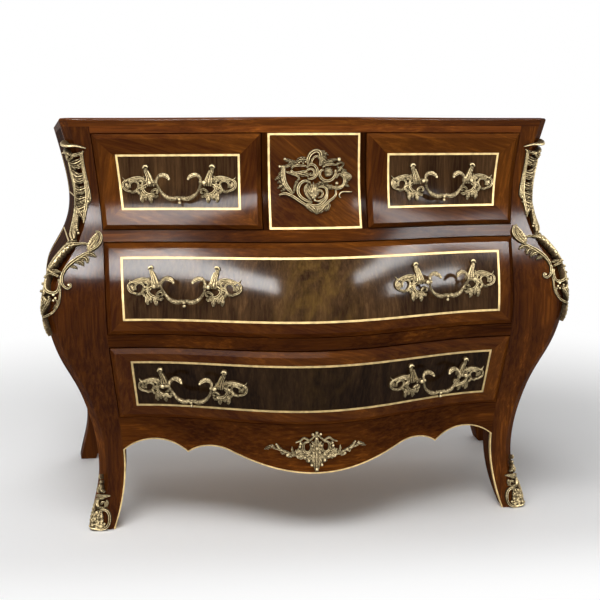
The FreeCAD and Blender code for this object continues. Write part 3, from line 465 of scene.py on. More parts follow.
class Val:
    """What a node gives: arithmetic on it adds the nodes that work it out."""

    def __init__(self, shader, socket):
        self.shader, self.socket = shader, socket

    def math(self, operation, *others):
        """The result of a Math node."""
        values = dict(enumerate((self,) + others))
        return self.shader.node("ShaderNodeMath", {"operation": operation}, values)

    def __add__(self, other):
        return self.math("ADD", other)

    def __sub__(self, other):
        return self.math("SUBTRACT", other)

    def __mul__(self, other):
        return self.math("MULTIPLY", other)

    def __rsub__(self, other):
        return self.shader.node("ShaderNodeMath", {"operation": "SUBTRACT"}, {0: other, 1: self})

    def __abs__(self):
        return self.math("ABSOLUTE")

    __radd__ = __add__
    __rmul__ = __mul__

    def most(self, other):
        return self.math("MAXIMUM", other)

    def step(self, low, high):
        """0 below low and 1 above high, smooth between them."""
        settings = {"interpolation_type": "SMOOTHSTEP"}
        return self.shader.node("ShaderNodeMapRange", settings, {"Value": self, "From Min": low, "From Max": high})


class Graph:
    """The nodes of a material or of the room's light."""

    def __init__(self, tree, shader):
        self.tree = tree
        self.surface = tree.nodes[shader]

    def node(self, kind, settings, values, result=0):
        """Adds a node: its settings first, then the values or links of its sockets."""
        made = self.tree.nodes.new(kind)
        for name, value in settings.items():
            setattr(made, name, value)
        for name, value in values.items():
            socket = made.inputs[name]
            if isinstance(value, Val):
                self.tree.links.new(value.socket, socket)
            elif hasattr(value, "__len__"):
                socket.default_value = (*value, 1.0)[:len(socket.default_value)]
            else:
                socket.default_value = value
        return Val(self, made.outputs[result])

    def seen(self):
        """1 for rays from the camera and for reflections."""
        camera = self.node("ShaderNodeLightPath", {}, {}, "Is Camera Ray")
        rays = camera.socket.node.outputs
        return camera.most(Val(self, rays["Is Glossy Ray"])).most(Val(self, rays["Is Transmission Ray"]))

    def feed(self, **links):
        """Links values to the shader's sockets; an underscore stands for a space."""
        for name, value in links.items():
            self.tree.links.new(value.socket, self.surface.inputs[name.replace("_", " ")])


class Finish(Graph):
    """A material: what is the same all over stands on its sockets, and the rest is fed to them."""

    def __init__(self, name, **plain):
        self.material = bpy.data.materials.new(name)
        self.material.use_nodes = True
        super().__init__(self.material.node_tree, "Principled BSDF")
        for socket, value in plain.items():
            self.surface.inputs[socket.replace("_", " ")].default_value = value
        self.spot = self.node("ShaderNodeTexCoord", {}, {}, "Object")

    def fed(self, **links):
        self.feed(**links)
        return self.material

    def grid(self, size, turn=(0.0, 0.0, 0.0), shift=(0.0, 0.0, 0.0)):
        """Coordinates in which a feature of the given size, turned in degrees, measures 1."""
        turn = [math.radians(angle) for angle in turn]
        values = {"Vector": self.spot, "Location": shift, "Rotation": turn, "Scale": size}
        return self.node("ShaderNodeMapping", {"vector_type": "TEXTURE"}, values)

    def noise(self, grid, detail=4.0, rough=0.55, bend=0.0):
        """Cloudy noise in a grid, from 0 to 1."""
        values = {"Vector": grid, "Scale": 1.0, "Detail": detail, "Roughness": rough, "Distortion": bend}
        return self.node("ShaderNodeTexNoise", {}, values)

    def mix(self, share, first, second):
        """One colour passing into another."""
        return self.node("ShaderNodeMix", {"data_type": "RGBA"}, {0: share, 6: first, 7: second}, 2)

    def axes(self):
        """The three coordinates of a point, in metres."""
        split = self.node("ShaderNodeSeparateXYZ", {}, {0: self.spot})
        return [Val(self, split.socket.node.outputs[k]) for k in range(3)]

    def bump(self, height, depth, strength):
        return self.node("ShaderNodeBump", {}, {"Height": height, "Distance": depth, "Strength": strength})


# size of a streak of the grain in metres, upright or level; PORE is how much finer the pores are
UPRIGHT = (0.005, 0.005, 0.14)
LEVEL = (0.14, 0.005, 0.005)
PORE_ACROSS, PORE_ALONG, PORE_LONGEST = 0.07, 0.09, 0.02


def veneer(finish, size, dark, light, streak, turn=(0, 0, 0), shift=(0, 0, 0), figure=1.0):
    """Colour of a sawn veneer, with its streaks and fibres: broad figure, streaks along the grain, dark pores."""
    def scaled(k):
        return [s * k for s in size]
    broad = finish.noise(finish.grid(scaled(9.0), turn, shift), 3.0, 0.5, 0.6)
    lines = finish.noise(finish.grid(size, turn, shift), 5.0, 0.62, 0.4)
    fine = finish.noise(finish.grid(scaled(0.22), turn, shift), 3.0, 0.6)
    pore = [PORE_LONGEST * PORE_ALONG if s > PORE_LONGEST else s * PORE_ACROSS for s in size]
    pores = finish.noise(finish.grid(pore, turn, shift), 2.0)
    tone = broad.step(0.36, 0.66) * 0.55 * figure + lines.step(0.34, 0.68) * 0.45
    colour = finish.mix(tone, dark, light)
    colour = finish.mix((lines + broad * 0.8).step(0.98, 1.25) * 0.75, colour, streak)
    colour = finish.mix(fine.step(0.5, 0.72) * 0.3, colour, dark)
    return finish.mix(pores.step(0.6, 0.74) * 0.45, colour, [c * 0.3 for c in dark]), lines, fine


class ChestColours(bpy.types.PropertyGroup):
    """Colours and gloss of the chest's finishes."""
    def colour(name, description, default):
        return bpy.props.FloatVectorProperty(name=name, description=description, default=default, size=3,
                                             subtype="COLOR", min=0.0, max=1.0)
    case_dark: colour("Case, dark", "Dark grain of the carcass veneer", (0.036, 0.0085, 0.0018))
    case_light: colour("Case, light", "Light grain of the carcass veneer", (0.145, 0.040, 0.0055))
    case_streak: colour("Case, streak", "Orange streaks of the carcass veneer", (0.27, 0.084, 0.009))
    band_dark: colour("Banding, dark", "Dark grain of the drawers' banding", (0.050, 0.012, 0.003))
    band_light: colour("Banding, light", "Light grain of the drawers' banding", (0.155, 0.047, 0.007))
    band_streak: colour("Banding, streak", "Orange streaks of the drawers' banding", (0.24, 0.074, 0.009))
    field_dark: colour("Field, dark", "Dark grain inside the brass lines", (0.022, 0.0095, 0.004))
    field_light: colour("Field, light", "Light grain inside the brass lines", (0.092, 0.046, 0.018))
    field_gold: colour("Field, gold", "Golden figure of the middle drawer", (0.21, 0.115, 0.024))
    # gilt colours the highest crests, partly as painted highlight; gilt_shade colours the hollows, partly patina
    # and partly painted shade
    gilt: colour("Gilt", "Crests of the castings", (0.70, 0.56, 0.31))
    gilt_shade: colour("Gilt, shade", "Brown antique finish in the hollows", (0.052, 0.029, 0.010))
    brass: colour("Brass line", "Stringing and edge strips", (0.60, 0.43, 0.18))
    inner: colour("Inner wood", "Drawer boxes, runners and dust boards", (0.45, 0.28, 0.14))
    lacquer: bpy.props.FloatProperty(name="Lacquer", description="How much the lacquer coat reflects",
                                     default=0.09, min=0.0, max=1.0, subtype="FACTOR")
    lacquer_roughness: bpy.props.FloatProperty(name="Lacquer roughness", description="Blur of its reflections",
                                               default=0.12, min=0.0, max=1.0, subtype="FACTOR")


class ChestRelief(bpy.types.PropertyGroup):
    """Sizes of the castings."""
    rosette_height: bpy.props.FloatProperty(name="Rosette relief", description="Height of the handle plates",
                                            default=0.0042, unit="LENGTH")
    mount_height: bpy.props.FloatProperty(name="Mount relief", description="Height of the corner castings",
                                          default=0.005, unit="LENGTH")
    bail_radius: bpy.props.FloatProperty(name="Bail radius", description="Thickness of the bails' arms",
                                         default=0.0024, unit="LENGTH")


class ChestStudio(bpy.types.PropertyGroup):
    """Camera, floor and lamps."""
    camera_place: bpy.props.FloatVectorProperty(name="Camera", description="Where the camera stands",
                                                default=(-0.208, -1.722, 0.727), subtype="TRANSLATION",
                                                unit="LENGTH")
    camera_turn: bpy.props.FloatVectorProperty(name="Camera turn", description="Its pitch, roll and yaw",
                                               default=(math.radians(80.085), math.radians(0.29),
                                                        math.radians(-6.713)), subtype="EULER")
    lens: bpy.props.FloatProperty(name="Lens", description="Focal length in millimetres", default=49.13)
    window_light: bpy.props.FloatProperty(name="Window light", default=165.0, unit="POWER",
                                          description="Power of the strips that shine in the lacquer")
    sky_light: bpy.props.FloatProperty(name="Overhead light", description="Power of the overhead panel",
                                       default=50.0, unit="POWER")
    fill: bpy.props.FloatProperty(name="Fill", description="Brightness of the room around the chest",
                                  default=0.33)


FINISHES = {}


def lacquered(name, gloss=1.0):
    """A wood finish under clear lacquer."""
    c = bpy.context.scene.chest_colours
    return Finish(name, Specular_IOR_Level=0.0, Coat_Weight=c.lacquer * gloss, Coat_Roughness=c.lacquer_roughness,
                  Coat_IOR=1.5)


def case_finish(name, size, shift=(0, 0, 0), shade=1.0, gloss=1.0):
    """The reddish veneer of the carcass."""
    c = bpy.context.scene.chest_colours
    f = lacquered(name, gloss)
    # shade scales the veneer's colours: the sides and partitions use it for painted shade, the top rail for a
    # painted sheen
    dark, light, streak = [[v * shade for v in tone] for tone in (c.case_dark, c.case_light, c.case_streak)]
    colour, lines, fine = veneer(f, size, dark, light, streak, shift=shift)
    return f.fed(Base_Color=colour, Roughness=0.36 + lines * 0.12, Normal=f.bump(fine, 0.00025, 0.3))


RIM_BLUR, JOINT_BLUR = 0.0008, 0.0006  # half the blur where two veneers meet, in metres


def drawer_finish(name, base, top, edge, inner, gold, shift, tone, gloss):
    """Banding round a darker field; the field ends under the brass line.

    base and top are the levels of the field, edge its half width at a level with its growth above it, and
    inner its edge near the middle of the chest, if it has one. gold is the strength of the golden figure.
    """
    c = bpy.context.scene.chest_colours
    f = lacquered(name, gloss)
    x, _, z = f.axes()
    wide = abs(x)
    over = wide - (edge[0] + (z - edge[1]) * edge[2])
    if inner is not None:
        over = over.most(inner - wide)
    out = (base - z).most(z - top)
    # tone scales the field's colours; for the lower drawer it paints shade
    dark, light, streak = [[v * tone * k for v in shade]
                           for shade, k in ((c.field_dark, 1.0), (c.field_light, 1.0), (c.field_light, 1.5))]
    field_colour, field_lines, field_fine = veneer(f, (0.004, 0.004, 0.09), dark, light, streak, shift=shift)
    if gold:
        flame = f.noise(f.grid((0.05, 0.05, 0.16), (0, 18, 0), shift), 4.0, 0.6, 1.2)
        curls = f.noise(f.grid((0.006, 0.006, 0.05), (0, 8, 0), shift), 5.0, 0.65, 0.8)
        middle = 1.0 - wide.step(0.0, 0.13)
        share = middle * flame.step(0.38, 0.62) * (0.35 + curls.step(0.3, 0.7) * 0.65) * gold
        field_colour = f.mix(share, field_colour, c.field_gold)
    band = (c.band_dark, c.band_light, c.band_streak)
    level, _, level_fine = veneer(f, (0.11, 0.006, 0.006), *band, turn=(0, 14, 0), shift=shift)
    upright = veneer(f, (0.006, 0.006, 0.11), *band, turn=(0, 9, 0), shift=shift)[0]
    beside = (over - out).step(-JOINT_BLUR, JOINT_BLUR)
    rim = f.mix(beside, level, upright)
    outside = over.most(out).step(-RIM_BLUR, RIM_BLUR)
    colour = f.mix(outside, field_colour, rim)
    rough = 0.34 + field_lines * 0.14
    return f.fed(Base_Color=colour, Roughness=rough, Normal=f.bump(level_fine + field_fine, 0.0002, 0.3))


def panel_finish(name):
    """The fixed panel between the small drawers: quarter-cut veneer laid on the slant."""
    c = bpy.context.scene.chest_colours
    f = lacquered(name)
    light = [v * 1.05 for v in c.band_streak]
    colour, lines, fine = veneer(f, (0.16, 0.005, 0.005), c.band_dark, [v * 0.9 for v in c.band_light], light,
                                 turn=(0, 40, 0), figure=1.1)
    return f.fed(Base_Color=colour, Roughness=0.34 + lines * 0.14, Normal=f.bump(fine, 0.0002, 0.3))


def plain_wood_finish(name, size, tone, shift=(0, 0, 0)):
    """Unlacquered sanded wood inside the chest."""
    f = Finish(name, Specular_IOR_Level=0.25)
    dark = [v * 0.62 for v in tone]
    colour, lines, fine = veneer(f, size, dark, list(tone), [min(1.0, v * 1.15) for v in tone], shift=shift)
    return f.fed(Base_Color=colour, Roughness=0.55 + lines * 0.2, Normal=f.bump(fine + lines, 0.0004, 0.4))


def gilt_finish(name):
    """Gilding: brown in the hollows, partly patina and partly painted shade, and gold on the crests, partly rubbed
    wear and partly painted highlight.
    """
    c = bpy.context.scene.chest_colours
    f = Finish(name, Specular_IOR_Level=0.08)
    relief = f.node("ShaderNodeAttribute", {"attribute_name": "relief"}, {}, "Fac")
    cloud = f.noise(f.grid((0.0032, 0.0032, 0.0032)), 3.0, 0.6, 0.8)
    grit = f.noise(f.grid((0.0009, 0.0009, 0.0009)), 3.0, 0.6)
    # raised and crest follow the relief: the low ones get painted shade with the patina, the highest get painted
    # highlight
    raised = relief + (cloud - 0.5) * 0.9
    crest = raised.step(0.40, 1.0)
    middle = [(a + b) * 0.27 for a, b in zip(c.gilt, c.gilt_shade)]
    colour = f.mix(crest, c.gilt_shade, middle)
    colour = f.mix((raised + (grit - 0.5) * 0.3).step(0.70, 1.08), colour, c.gilt)
    return f.fed(Base_Color=colour, Metallic=0.2 + crest * 0.3, Roughness=0.62 - crest * 0.22 + grit * 0.08,
                  Normal=f.bump(cloud * 0.7 + grit * 0.3, 0.0011, 0.55))


def brass_finish(name):
    """Drawn brass, a little clouded."""
    c = bpy.context.scene.chest_colours
    f = Finish(name, Metallic=0.5)
    cloud = f.noise(f.grid((0.012, 0.012, 0.012)), 4.0, 0.6)
    fine = f.noise(f.grid((0.002, 0.002, 0.002)), 3.0, 0.6)
    colour = f.mix(cloud.step(0.35, 0.65), [v * 0.66 for v in c.brass], c.brass)
    return f.fed(Base_Color=colour, Roughness=0.5 + cloud * 0.12 + fine * 0.05, Normal=f.bump(fine, 0.0001, 0.3))


def steel_finish(name):
    """Bright steel of the nuts."""
    f = Finish(name, Metallic=1.0)
    cloud = f.noise(f.grid((0.002, 0.002, 0.002)), 3.0, 0.6)
    return f.fed(Base_Color=f.mix(cloud, (0.35, 0.34, 0.32), (0.62, 0.6, 0.57)), Roughness=0.3 + cloud * 0.2)


def make_finishes():
    """Makes all finishes of the chest."""
    c = bpy.context.scene.chest_colours
    FINISHES.update({
        "case_upright": case_finish("case_upright_veneer", UPRIGHT),
        "case_level": case_finish("case_level_veneer", LEVEL, shade=0.95, gloss=0.45),
        # the sides are darkened (shade 0.42) as painted shade
        "side": case_finish("side_veneer_painted_shade", UPRIGHT, shift=(0.3, 0.1, 0.2), shade=0.42, gloss=0.3),
        # the partitions' front edges are darkened (shade 0.42) as painted shade between the drawers
        "partition_painted_shade": case_finish("partition_veneer_painted_shade", UPRIGHT, shade=0.42, gloss=0.1),
        # the top rail is lightened (shade 2.1) as a painted sheen
        "top_rail": case_finish("top_rail_veneer_painted_sheen", LEVEL, shift=(0.1, 0.5, 0.2), shade=2.1),
        "top": case_finish("top_veneer", (0.18, 0.006, 0.006), shift=(0.2, 0.7, 0.1), shade=1.1),
        "small": drawer_finish("small_drawer_veneer", base=0.6345, top=0.729, edge=(0.3573, 0.593, 18 / 202.0),
                               inner=0.1410, gold=0.0, shift=(0.5, 0.2, 0.7), tone=1.3, gloss=0.45),
        "middle": drawer_finish("middle_drawer_veneer", base=0.4335, top=0.5420, edge=(0.3583, 0.4, 4 / 194.0),
                                inner=None, gold=0.6, shift=(0.9, 0.4, 0.1), tone=1.25, gloss=0.9),
        # the lower drawer's field is darkened (tone 0.48) as painted shade on its downward-facing belly
        "lower": drawer_finish("lower_drawer_veneer_painted_shade", base=0.2595, top=0.3460, edge=(0.3437, 0.226, 14 / 231.0),
                               inner=None, gold=0.12, shift=(0.1, 0.8, 0.3), tone=0.48, gloss=1.0),
        "panel": panel_finish("panel_veneer"),
        "inner": plain_wood_finish("inner_wood", (0.18, 0.008, 0.008), c.inner),
        "inner_deep": plain_wood_finish("inner_wood_lengthwise", (0.008, 0.18, 0.008), c.inner, (0.4, 0.3, 0.2)),
        "back": plain_wood_finish("back_wood", (0.012, 0.012, 0.25), [v * 0.55 for v in c.inner]),
        "gilt": gilt_finish("gilt"),
        "brass": brass_finish("brass_line"),
        "steel": steel_finish("steel"),
    })


def dress(finish, *names):
    """Gives CAD nodes their finish."""
    for name in names:
        mesh = frame["nodes"][name].data
        mesh.materials.clear()
        mesh.materials.append(FINISHES[finish])


# ---------------------------------------------------------------- operators


class CHEST_OT_veneer_case(bpy.types.Operator):
    """Veneer the carcass: posts, sides, rails, apron and top"""
    bl_idname = "chest.veneer_case"
    bl_label = "Veneer case"
    bl_options = {"REGISTER", "UNDO"}

    def execute(self, context):
        make_finishes()
        dress("case_upright", "front_left_post", "front_right_post", "rear_left_post", "rear_right_post")
        # the partitions get the darkened veneer: painted shade between the drawers
        dress("partition_painted_shade", "drawer_partitions")
        # the side panels get the darkened veneer: painted shade
        dress("side", "left_side_panel", "right_side_panel")
        # the top rail gets the lightened veneer: painted sheen
        dress("top_rail", "top_rail")
        dress("case_level", "upper_rail", "middle_rail", "front_apron")
        dress("top", "top_board")
        dress("panel", "center_panel")
        return {"FINISHED"}


class CHEST_OT_veneer_drawers(bpy.types.Operator):
    """Veneer the drawer fronts: banding round a darker field"""
    bl_idname = "chest.veneer_drawers"
    bl_label = "Veneer drawers"
    bl_options = {"REGISTER", "UNDO"}

    def execute(self, context):
        dress("small", "upper_left_drawer_front", "upper_right_drawer_front")
        dress("middle", "middle_drawer_front")
        # the lower front gets the darkened field: painted shade
        dress("lower", "lower_drawer_front")
        return {"FINISHED"}


class CHEST_OT_finish_inside(bpy.types.Operator):
    """Finish the drawer boxes, boards, runners and back in plain wood"""
    bl_idname = "chest.finish_inside"
    bl_label = "Finish inside"
    bl_options = {"REGISTER", "UNDO"}

    def execute(self, context):
        for drawer in DRAWERS:
            dress("inner_deep", drawer + "_sides", drawer + "_bottom")
            dress("inner", drawer + "_back")
        dress("inner", "upper_dust_board", "lower_dust_board", "bottom_board")
        dress("inner_deep", "drawer_runners", "drawer_stops")
        dress("back", "back_panel")
        return {"FINISHED"}


LINE_LEVELS = ((650.0, 738.0), (252.0, 568.0))  # the two frames on a side, by their lowest and highest level
LINE_FROM_FRONT, LINE_FROM_BACK, LINE_PARTS = 52.0, 42.0, 12
LINE_HALF_WIDTH, LINE_PROUD = 1.5, 0.6


class CHEST_OT_lay_brass_lines(bpy.types.Operator):
    """Polish the brass stringing and edges, and lay the lines on the sides"""
    bl_idname = "chest.lay_brass_lines"
    bl_label = "Lay brass lines"
    bl_options = {"REGISTER", "UNDO"}

    def execute(self, context):
        dress("brass", "center_panel_stringing", "apron_brass_edge", *[d + "_stringing" for d in DRAWERS])
        lines = Casting(on_side(context), step=6.0, across=5)
        rear = BACK - LINE_FROM_BACK
        for low, high in LINE_LEVELS:
            levels = [low + (high - low) * k / LINE_PARTS for k in range(LINE_PARTS + 1)]
            front = [(BACK - profile(REACH, z) + LINE_FROM_FRONT, z) for z in levels]
            for run in (front, [(rear, z) for z in levels], [front[0], (rear, low)], [front[-1], (rear, high)]):
                lines.lobe(run, LINE_HALF_WIDTH, LINE_PROUD, flat_topped, sink=-LINE_PROUD)
        lines.mirrored().piece("side_lines", "brass", "carcass", "string_brass")
        return {"FINISHED"}


# a handle, in millimetres: its posts, by their way from the handle's middle and from the front to the pivot,
# and the bail, by how far it hangs behind its pivots and how far its ends reach past its drawing
POST_FROM_MIDDLE, POST_REACH, POST_KNOB = 50.5, 24.0, 4.5
BAIL_SET_BACK, BAIL_SHIFT, BAIL_HANG = 7.0, 3.0, 14.0


def handle_frame(level):
    """A right-hand bail by its joint: its pivot, the way along the pins and the way out of the drawer."""
    joint = next(j for j in frame["joints"] if j["name"] == level + "_right_bail_swing")
    along = -Vector(joint["axis"])
    out = Vector((along.y, -along.x, 0.0))
    return Vector(joint["pos_m"]), along, out


def fit_to_drawers(casting, level, ending, finish, slot, replaced=""):
    """Puts a right-hand handle's casting and its twin on the small drawers, or on both ends of a wide one."""
    if level == "upper":
        each = {"upper_right_drawer": casting, "upper_left_drawer": casting.mirror_image()}
    else:
        each = {LEVEL_OF[level]: casting.mirrored()}
    for drawer, part in each.items():
        part.piece(drawer + ending, finish, drawer, slot, [drawer + replaced] if replaced else ())


def rosette(plate, sign, z0):
    """One leafy plate of a handle; distances run from the handle's middle."""
    p = chart((0, 0), (0.0, z0), (sign, 1.0))
    # low leafy ground that ties the parts together
    plate.lobe(p((62, 4), (72, 5), (84, 6), (97, 3)), [4.0, 4.6, 4.0, 3.0], 0.7, ribbed, veins=0.3)
    plate.lobe(p((60, -2), (68, -6), (76, -11), (82, -15)), [5.0, 6.0, 5.0, 2.6], 0.7, leafy, veins=0.35)
    plate.lobe(p((50, -21), (58, -25), (66, -24), (73, -17)), [3.0, 5.0, 5.0, 3.4], 0.7, leafy, veins=0.35)
    # plume with its rolled top
    plate.lobe(p((62.6, 27), (62, 21), (59.6, 15), (57.4, 8), (56, 0), (55.6, -7)),
               [3.4, 4.2, 4.4, 6.0, 7.4, 5.6], [1.3, 1.2, 1.2, 1.4, 1.4, 1], ribbed)
    plate.lobe(p((58, 28.5), (61, 31), (65, 30.5), (68, 26.5)), [1.8, 3.0, 2.8, 1.4], 1.6, rounded)
    plate.lobe(p((58, 22), (53.4, 12), (49, 1), (47.6, -7)), [1.4, 2.0, 2.2, 1.6], 1.7, rounded)
    plate.lobe(p((66, 12), (67.5, 6), (65, -1)), [1.2, 2.4, 2.0], 1.2, leafy)
    # ear: an arched leaf with a spike
    plate.lobe(p((62, 3.5), (69, 8), (77, 9.6), (86, 8.4), (95, 5.6), (102, 3)),
               [1.8, 2.6, 3.0, 3.0, 2.8, 1.8], [1, 1.3, 1.4, 1.4, 1.2, 1], reeded)
    plate.lobe(p((99, 4), (103.5, 6), (106.5, 10)), [2.0, 1.6, 0.5], [1.2, 1, 0.6], ridged)
    plate.lobe(p((99, 5), (104.6, 1), (106.4, -5), (104, -11), (98, -15), (91, -16.4)),
               [2.0, 2.6, 2.8, 2.8, 2.6, 1.8], [1, 1.2, 1.3, 1.3, 1.2, 1], reeded, scallops=5, bite=0.22,
               one_sided=sign)
    plate.lobe(p((100, 0), (99, -5), (96, -11)), [2.0, 4.0, 2.4], [0.7, 0.9, 0.7], ribbed)
    plate.lobe(p((95, -15), (89, -17.6), (83, -16), (79, -11)), [2.2, 3.0, 3.0, 1.8], 1.1, leafy, scallops=3,
               bite=0.3, veins=0.2)
    # ring of the ear
    plate.lobe(p((92.5, -10), (93, -3), (88, 2), (81, 1.6), (77, -3), (78, -9), (81, -14)),
               [1.8, 2.2, 2.4, 2.4, 2.2, 2.2, 1.8], [1, 1.2, 1.3, 1.2, 1.2, 1.2, 1], reeded)
    plate.lobe(p((90, 4), (82, 5.6), (74, 5), (68, 1)), [1.4, 2.2, 2.4, 2.0], 1.2, leafy)
    plate.lobe(p((76, 3), (71.5, 3), (69, -1), (71.5, -5), (76, -5)), [1.4, 1.9, 2.1, 2.0, 1.4], 1.3, reeded)
    plate.lobe(p((77, -9), (71, -9), (65, -5)), [2.4, 4.0, 3.0], 0.9, leafy, veins=0.2)
    # scroll round the lower opening
    plate.lobe(p((69, -4), (68.4, -13), (63, -20), (54.6, -22.8), (47, -20.6)), [2.2, 3.0, 3.4, 3.4, 2.2],
               [1.2, 1.4, 1.5, 1.5, 1], reeded)
    plate.lobe(p((54, -19), (50.4, -15.4), (45.6, -13), (41.4, -15), (41.6, -19.6), (45.4, -20.4)),
               [1.8, 2.6, 2.8, 2.6, 2.2, 1.4], [1, 1.3, 1.4, 1.3, 1.2, 1], reeded)
    # acanthus lobes below
    plate.leaves(p, (0.75, 1, 0.95, 0.45), (1, 1.4, 1.3, 0.7), (4.2, (70, -20), (71.6, -28), (69.6, -37)),
                 (4.6, (57, -22), (54.6, -30), (53.4, -38.4)), (3.4, (52, -24), (46, -27), (40.4, -24.4)),
                 (3.6, (65, -21), (63.6, -27), (64, -33)), (3.0, (81, -13), (77, -18.6), (72.4, -23)),
                 section=ribbed, scallops=2, bite=0.2, veins=0.1)


class CHEST_OT_cast_plates(bpy.types.Operator):
    """Cast the leafy plates of the handles and their posts"""
    bl_idname = "chest.cast_plates"
    bl_label = "Cast handle plates"
    bl_options = {"REGISTER", "UNDO"}

    def execute(self, context):
        for level in LEVEL_OF:
            pivot, along, out = handle_frame(level)
            foot = pivot - out * POST_REACH * MM
            z0 = pivot.z / MM

            def place(u, z, height):
                x = (foot + along * u * MM).x / MM
                return on_front(FRONT_PROUD)(x, z, height)

            plate = Casting(place, step=1.1, unit=context.scene.chest_relief.rosette_height / MM)
            for sign in (-1, 1):
                rosette(plate, sign, z0)
                u = sign * POST_FROM_MIDDLE
                root = place(u, z0, 0.0)
                end = pivot + along * u * MM
                reach = (end - root).dot(out) / MM
                axis = (end - root).normalized()
                post = [(-2, 0.5), (-2, 6.2), (1.5, 6.2), (2.6, 5.2), (4.0, 3.6), (reach - 9, 2.7),
                        (reach - 6, 3.0), (reach - 4.4, 4.4), (reach - 3.4, 4.4)]
                plate.turned(root, axis, post)
                plate.bead(end, POST_KNOB * MM, axis, 8)
            fit_to_drawers(plate, level, "_rosettes", "gilt", "gilt_brass", "_handle_plates")
        return {"FINISHED"}


class CHEST_OT_cast_bails(bpy.types.Operator):
    """Cast the six bails: bow, scrolls, pins and the leaf in the middle"""
    bl_idname = "chest.cast_bails"
    bl_label = "Cast bails"
    bl_options = {"REGISTER", "UNDO"}

    def execute(self, context):
        r = context.scene.chest_relief.bail_radius / MM
        for level in LEVEL_OF:
            pivot, along, out = handle_frame(level)

            def at(u, z, n=0.0):
                back = BAIL_SET_BACK * min(1.0, abs(z) / BAIL_HANG)
                return pivot + (along * (u - BAIL_SHIFT) + out * (n - back) + Vector((0, 0, z))) * MM

            bow = Casting(at, step=1.2, across=9)
            for sign in (-1, 1):
                arm = [(0, -27.6), (6, -28.2), (14, -29.4), (22.5, -27.4), (31, -20.8), (37.2, -11.5),
                       (40.8, -2.6), (41.4, 3), (39.6, 8.8), (35, 13.4), (28.6, 15.0), (22, 12.4), (17.6, 7.4)]
                rod = [r * share for share in (1.1, 1.15, 1.5, 1.5, 1.3, 1.05, 1, 1, 1.15, 1.4, 1.5, 1.4, 0.9)]
                bow.bar([at(sign * u, z) for u, z in arm], rod, 0.9)
                bow.lobe([(sign * u, z) for u, z in ((37, 11.4), (32, 14), (26.4, 14), (21, 11), (17.4, 7))],
                         [2.0, 3.6, 4.3, 4.0, 2.0], [2.6, 3.6, 4.2, 4.0, 2.8], ribbed, sink=-1.5)
                bow.bead(at(sign * 18, 7.0, 0.4), 2.7 * MM, out)
                bow.lobe([(sign * u, z) for u, z in ((34, -17), (26, -25), (17, -29), (8, -29.4), (3, -26))],
                         [1.4, 3.4, 4.4, 3.8, 2.2], [2.4, 3.0, 3.4, 3.4, 3.0], leafy, sink=-1.8, veins=0.1)
                bow.lobe([(sign * 1, -31), (sign * 4.6, -27.4), (sign * 10, -25.4)], [1.8, 2.6, 1.2],
                         [4.2, 4.4, 3.0], leafy, sink=-1.8)
                bow.bar([at(sign * 40.6, 1.5), at(sign * 44 + BAIL_SHIFT, 0.4), at(sign * 50 + BAIL_SHIFT, 0)],
                        [2.2, 2.0, 2.0])
                bow.turned(at(sign * 42.6 + BAIL_SHIFT, 0.4), along * sign,
                           [(-1.2, 0.6), (-1.2, 3.1), (1.6, 3.1), (2.4, 2.2)])
            bow.bead(at(0, -36.6, 0.6), 3.2 * MM, out)
            bow.bead(at(0, -30.4, 1.8), 2.8 * MM, out)
            for side, bail in (("_right_bail", bow), ("_left_bail", bow.mirror_image())):
                name = level + side
                bail.piece(name + "_casting", "gilt", name, "gilt_brass", [name])
        return {"FINISHED"}


# how far the corner and foot castings stand off the arris, how much their lobes are undercut, and the
# relief of the foot and apron mounts as a share of the others'
CORNER_LIFT, FOOT_LIFT, UNDERCUT, LOW_MOUNT = 4.5, 3.0, 0.85, 0.9


def mount_unit(share=1.0):
    """Relief of a mount, in millimetres."""
    return bpy.context.scene.chest_relief.mount_height / MM * share


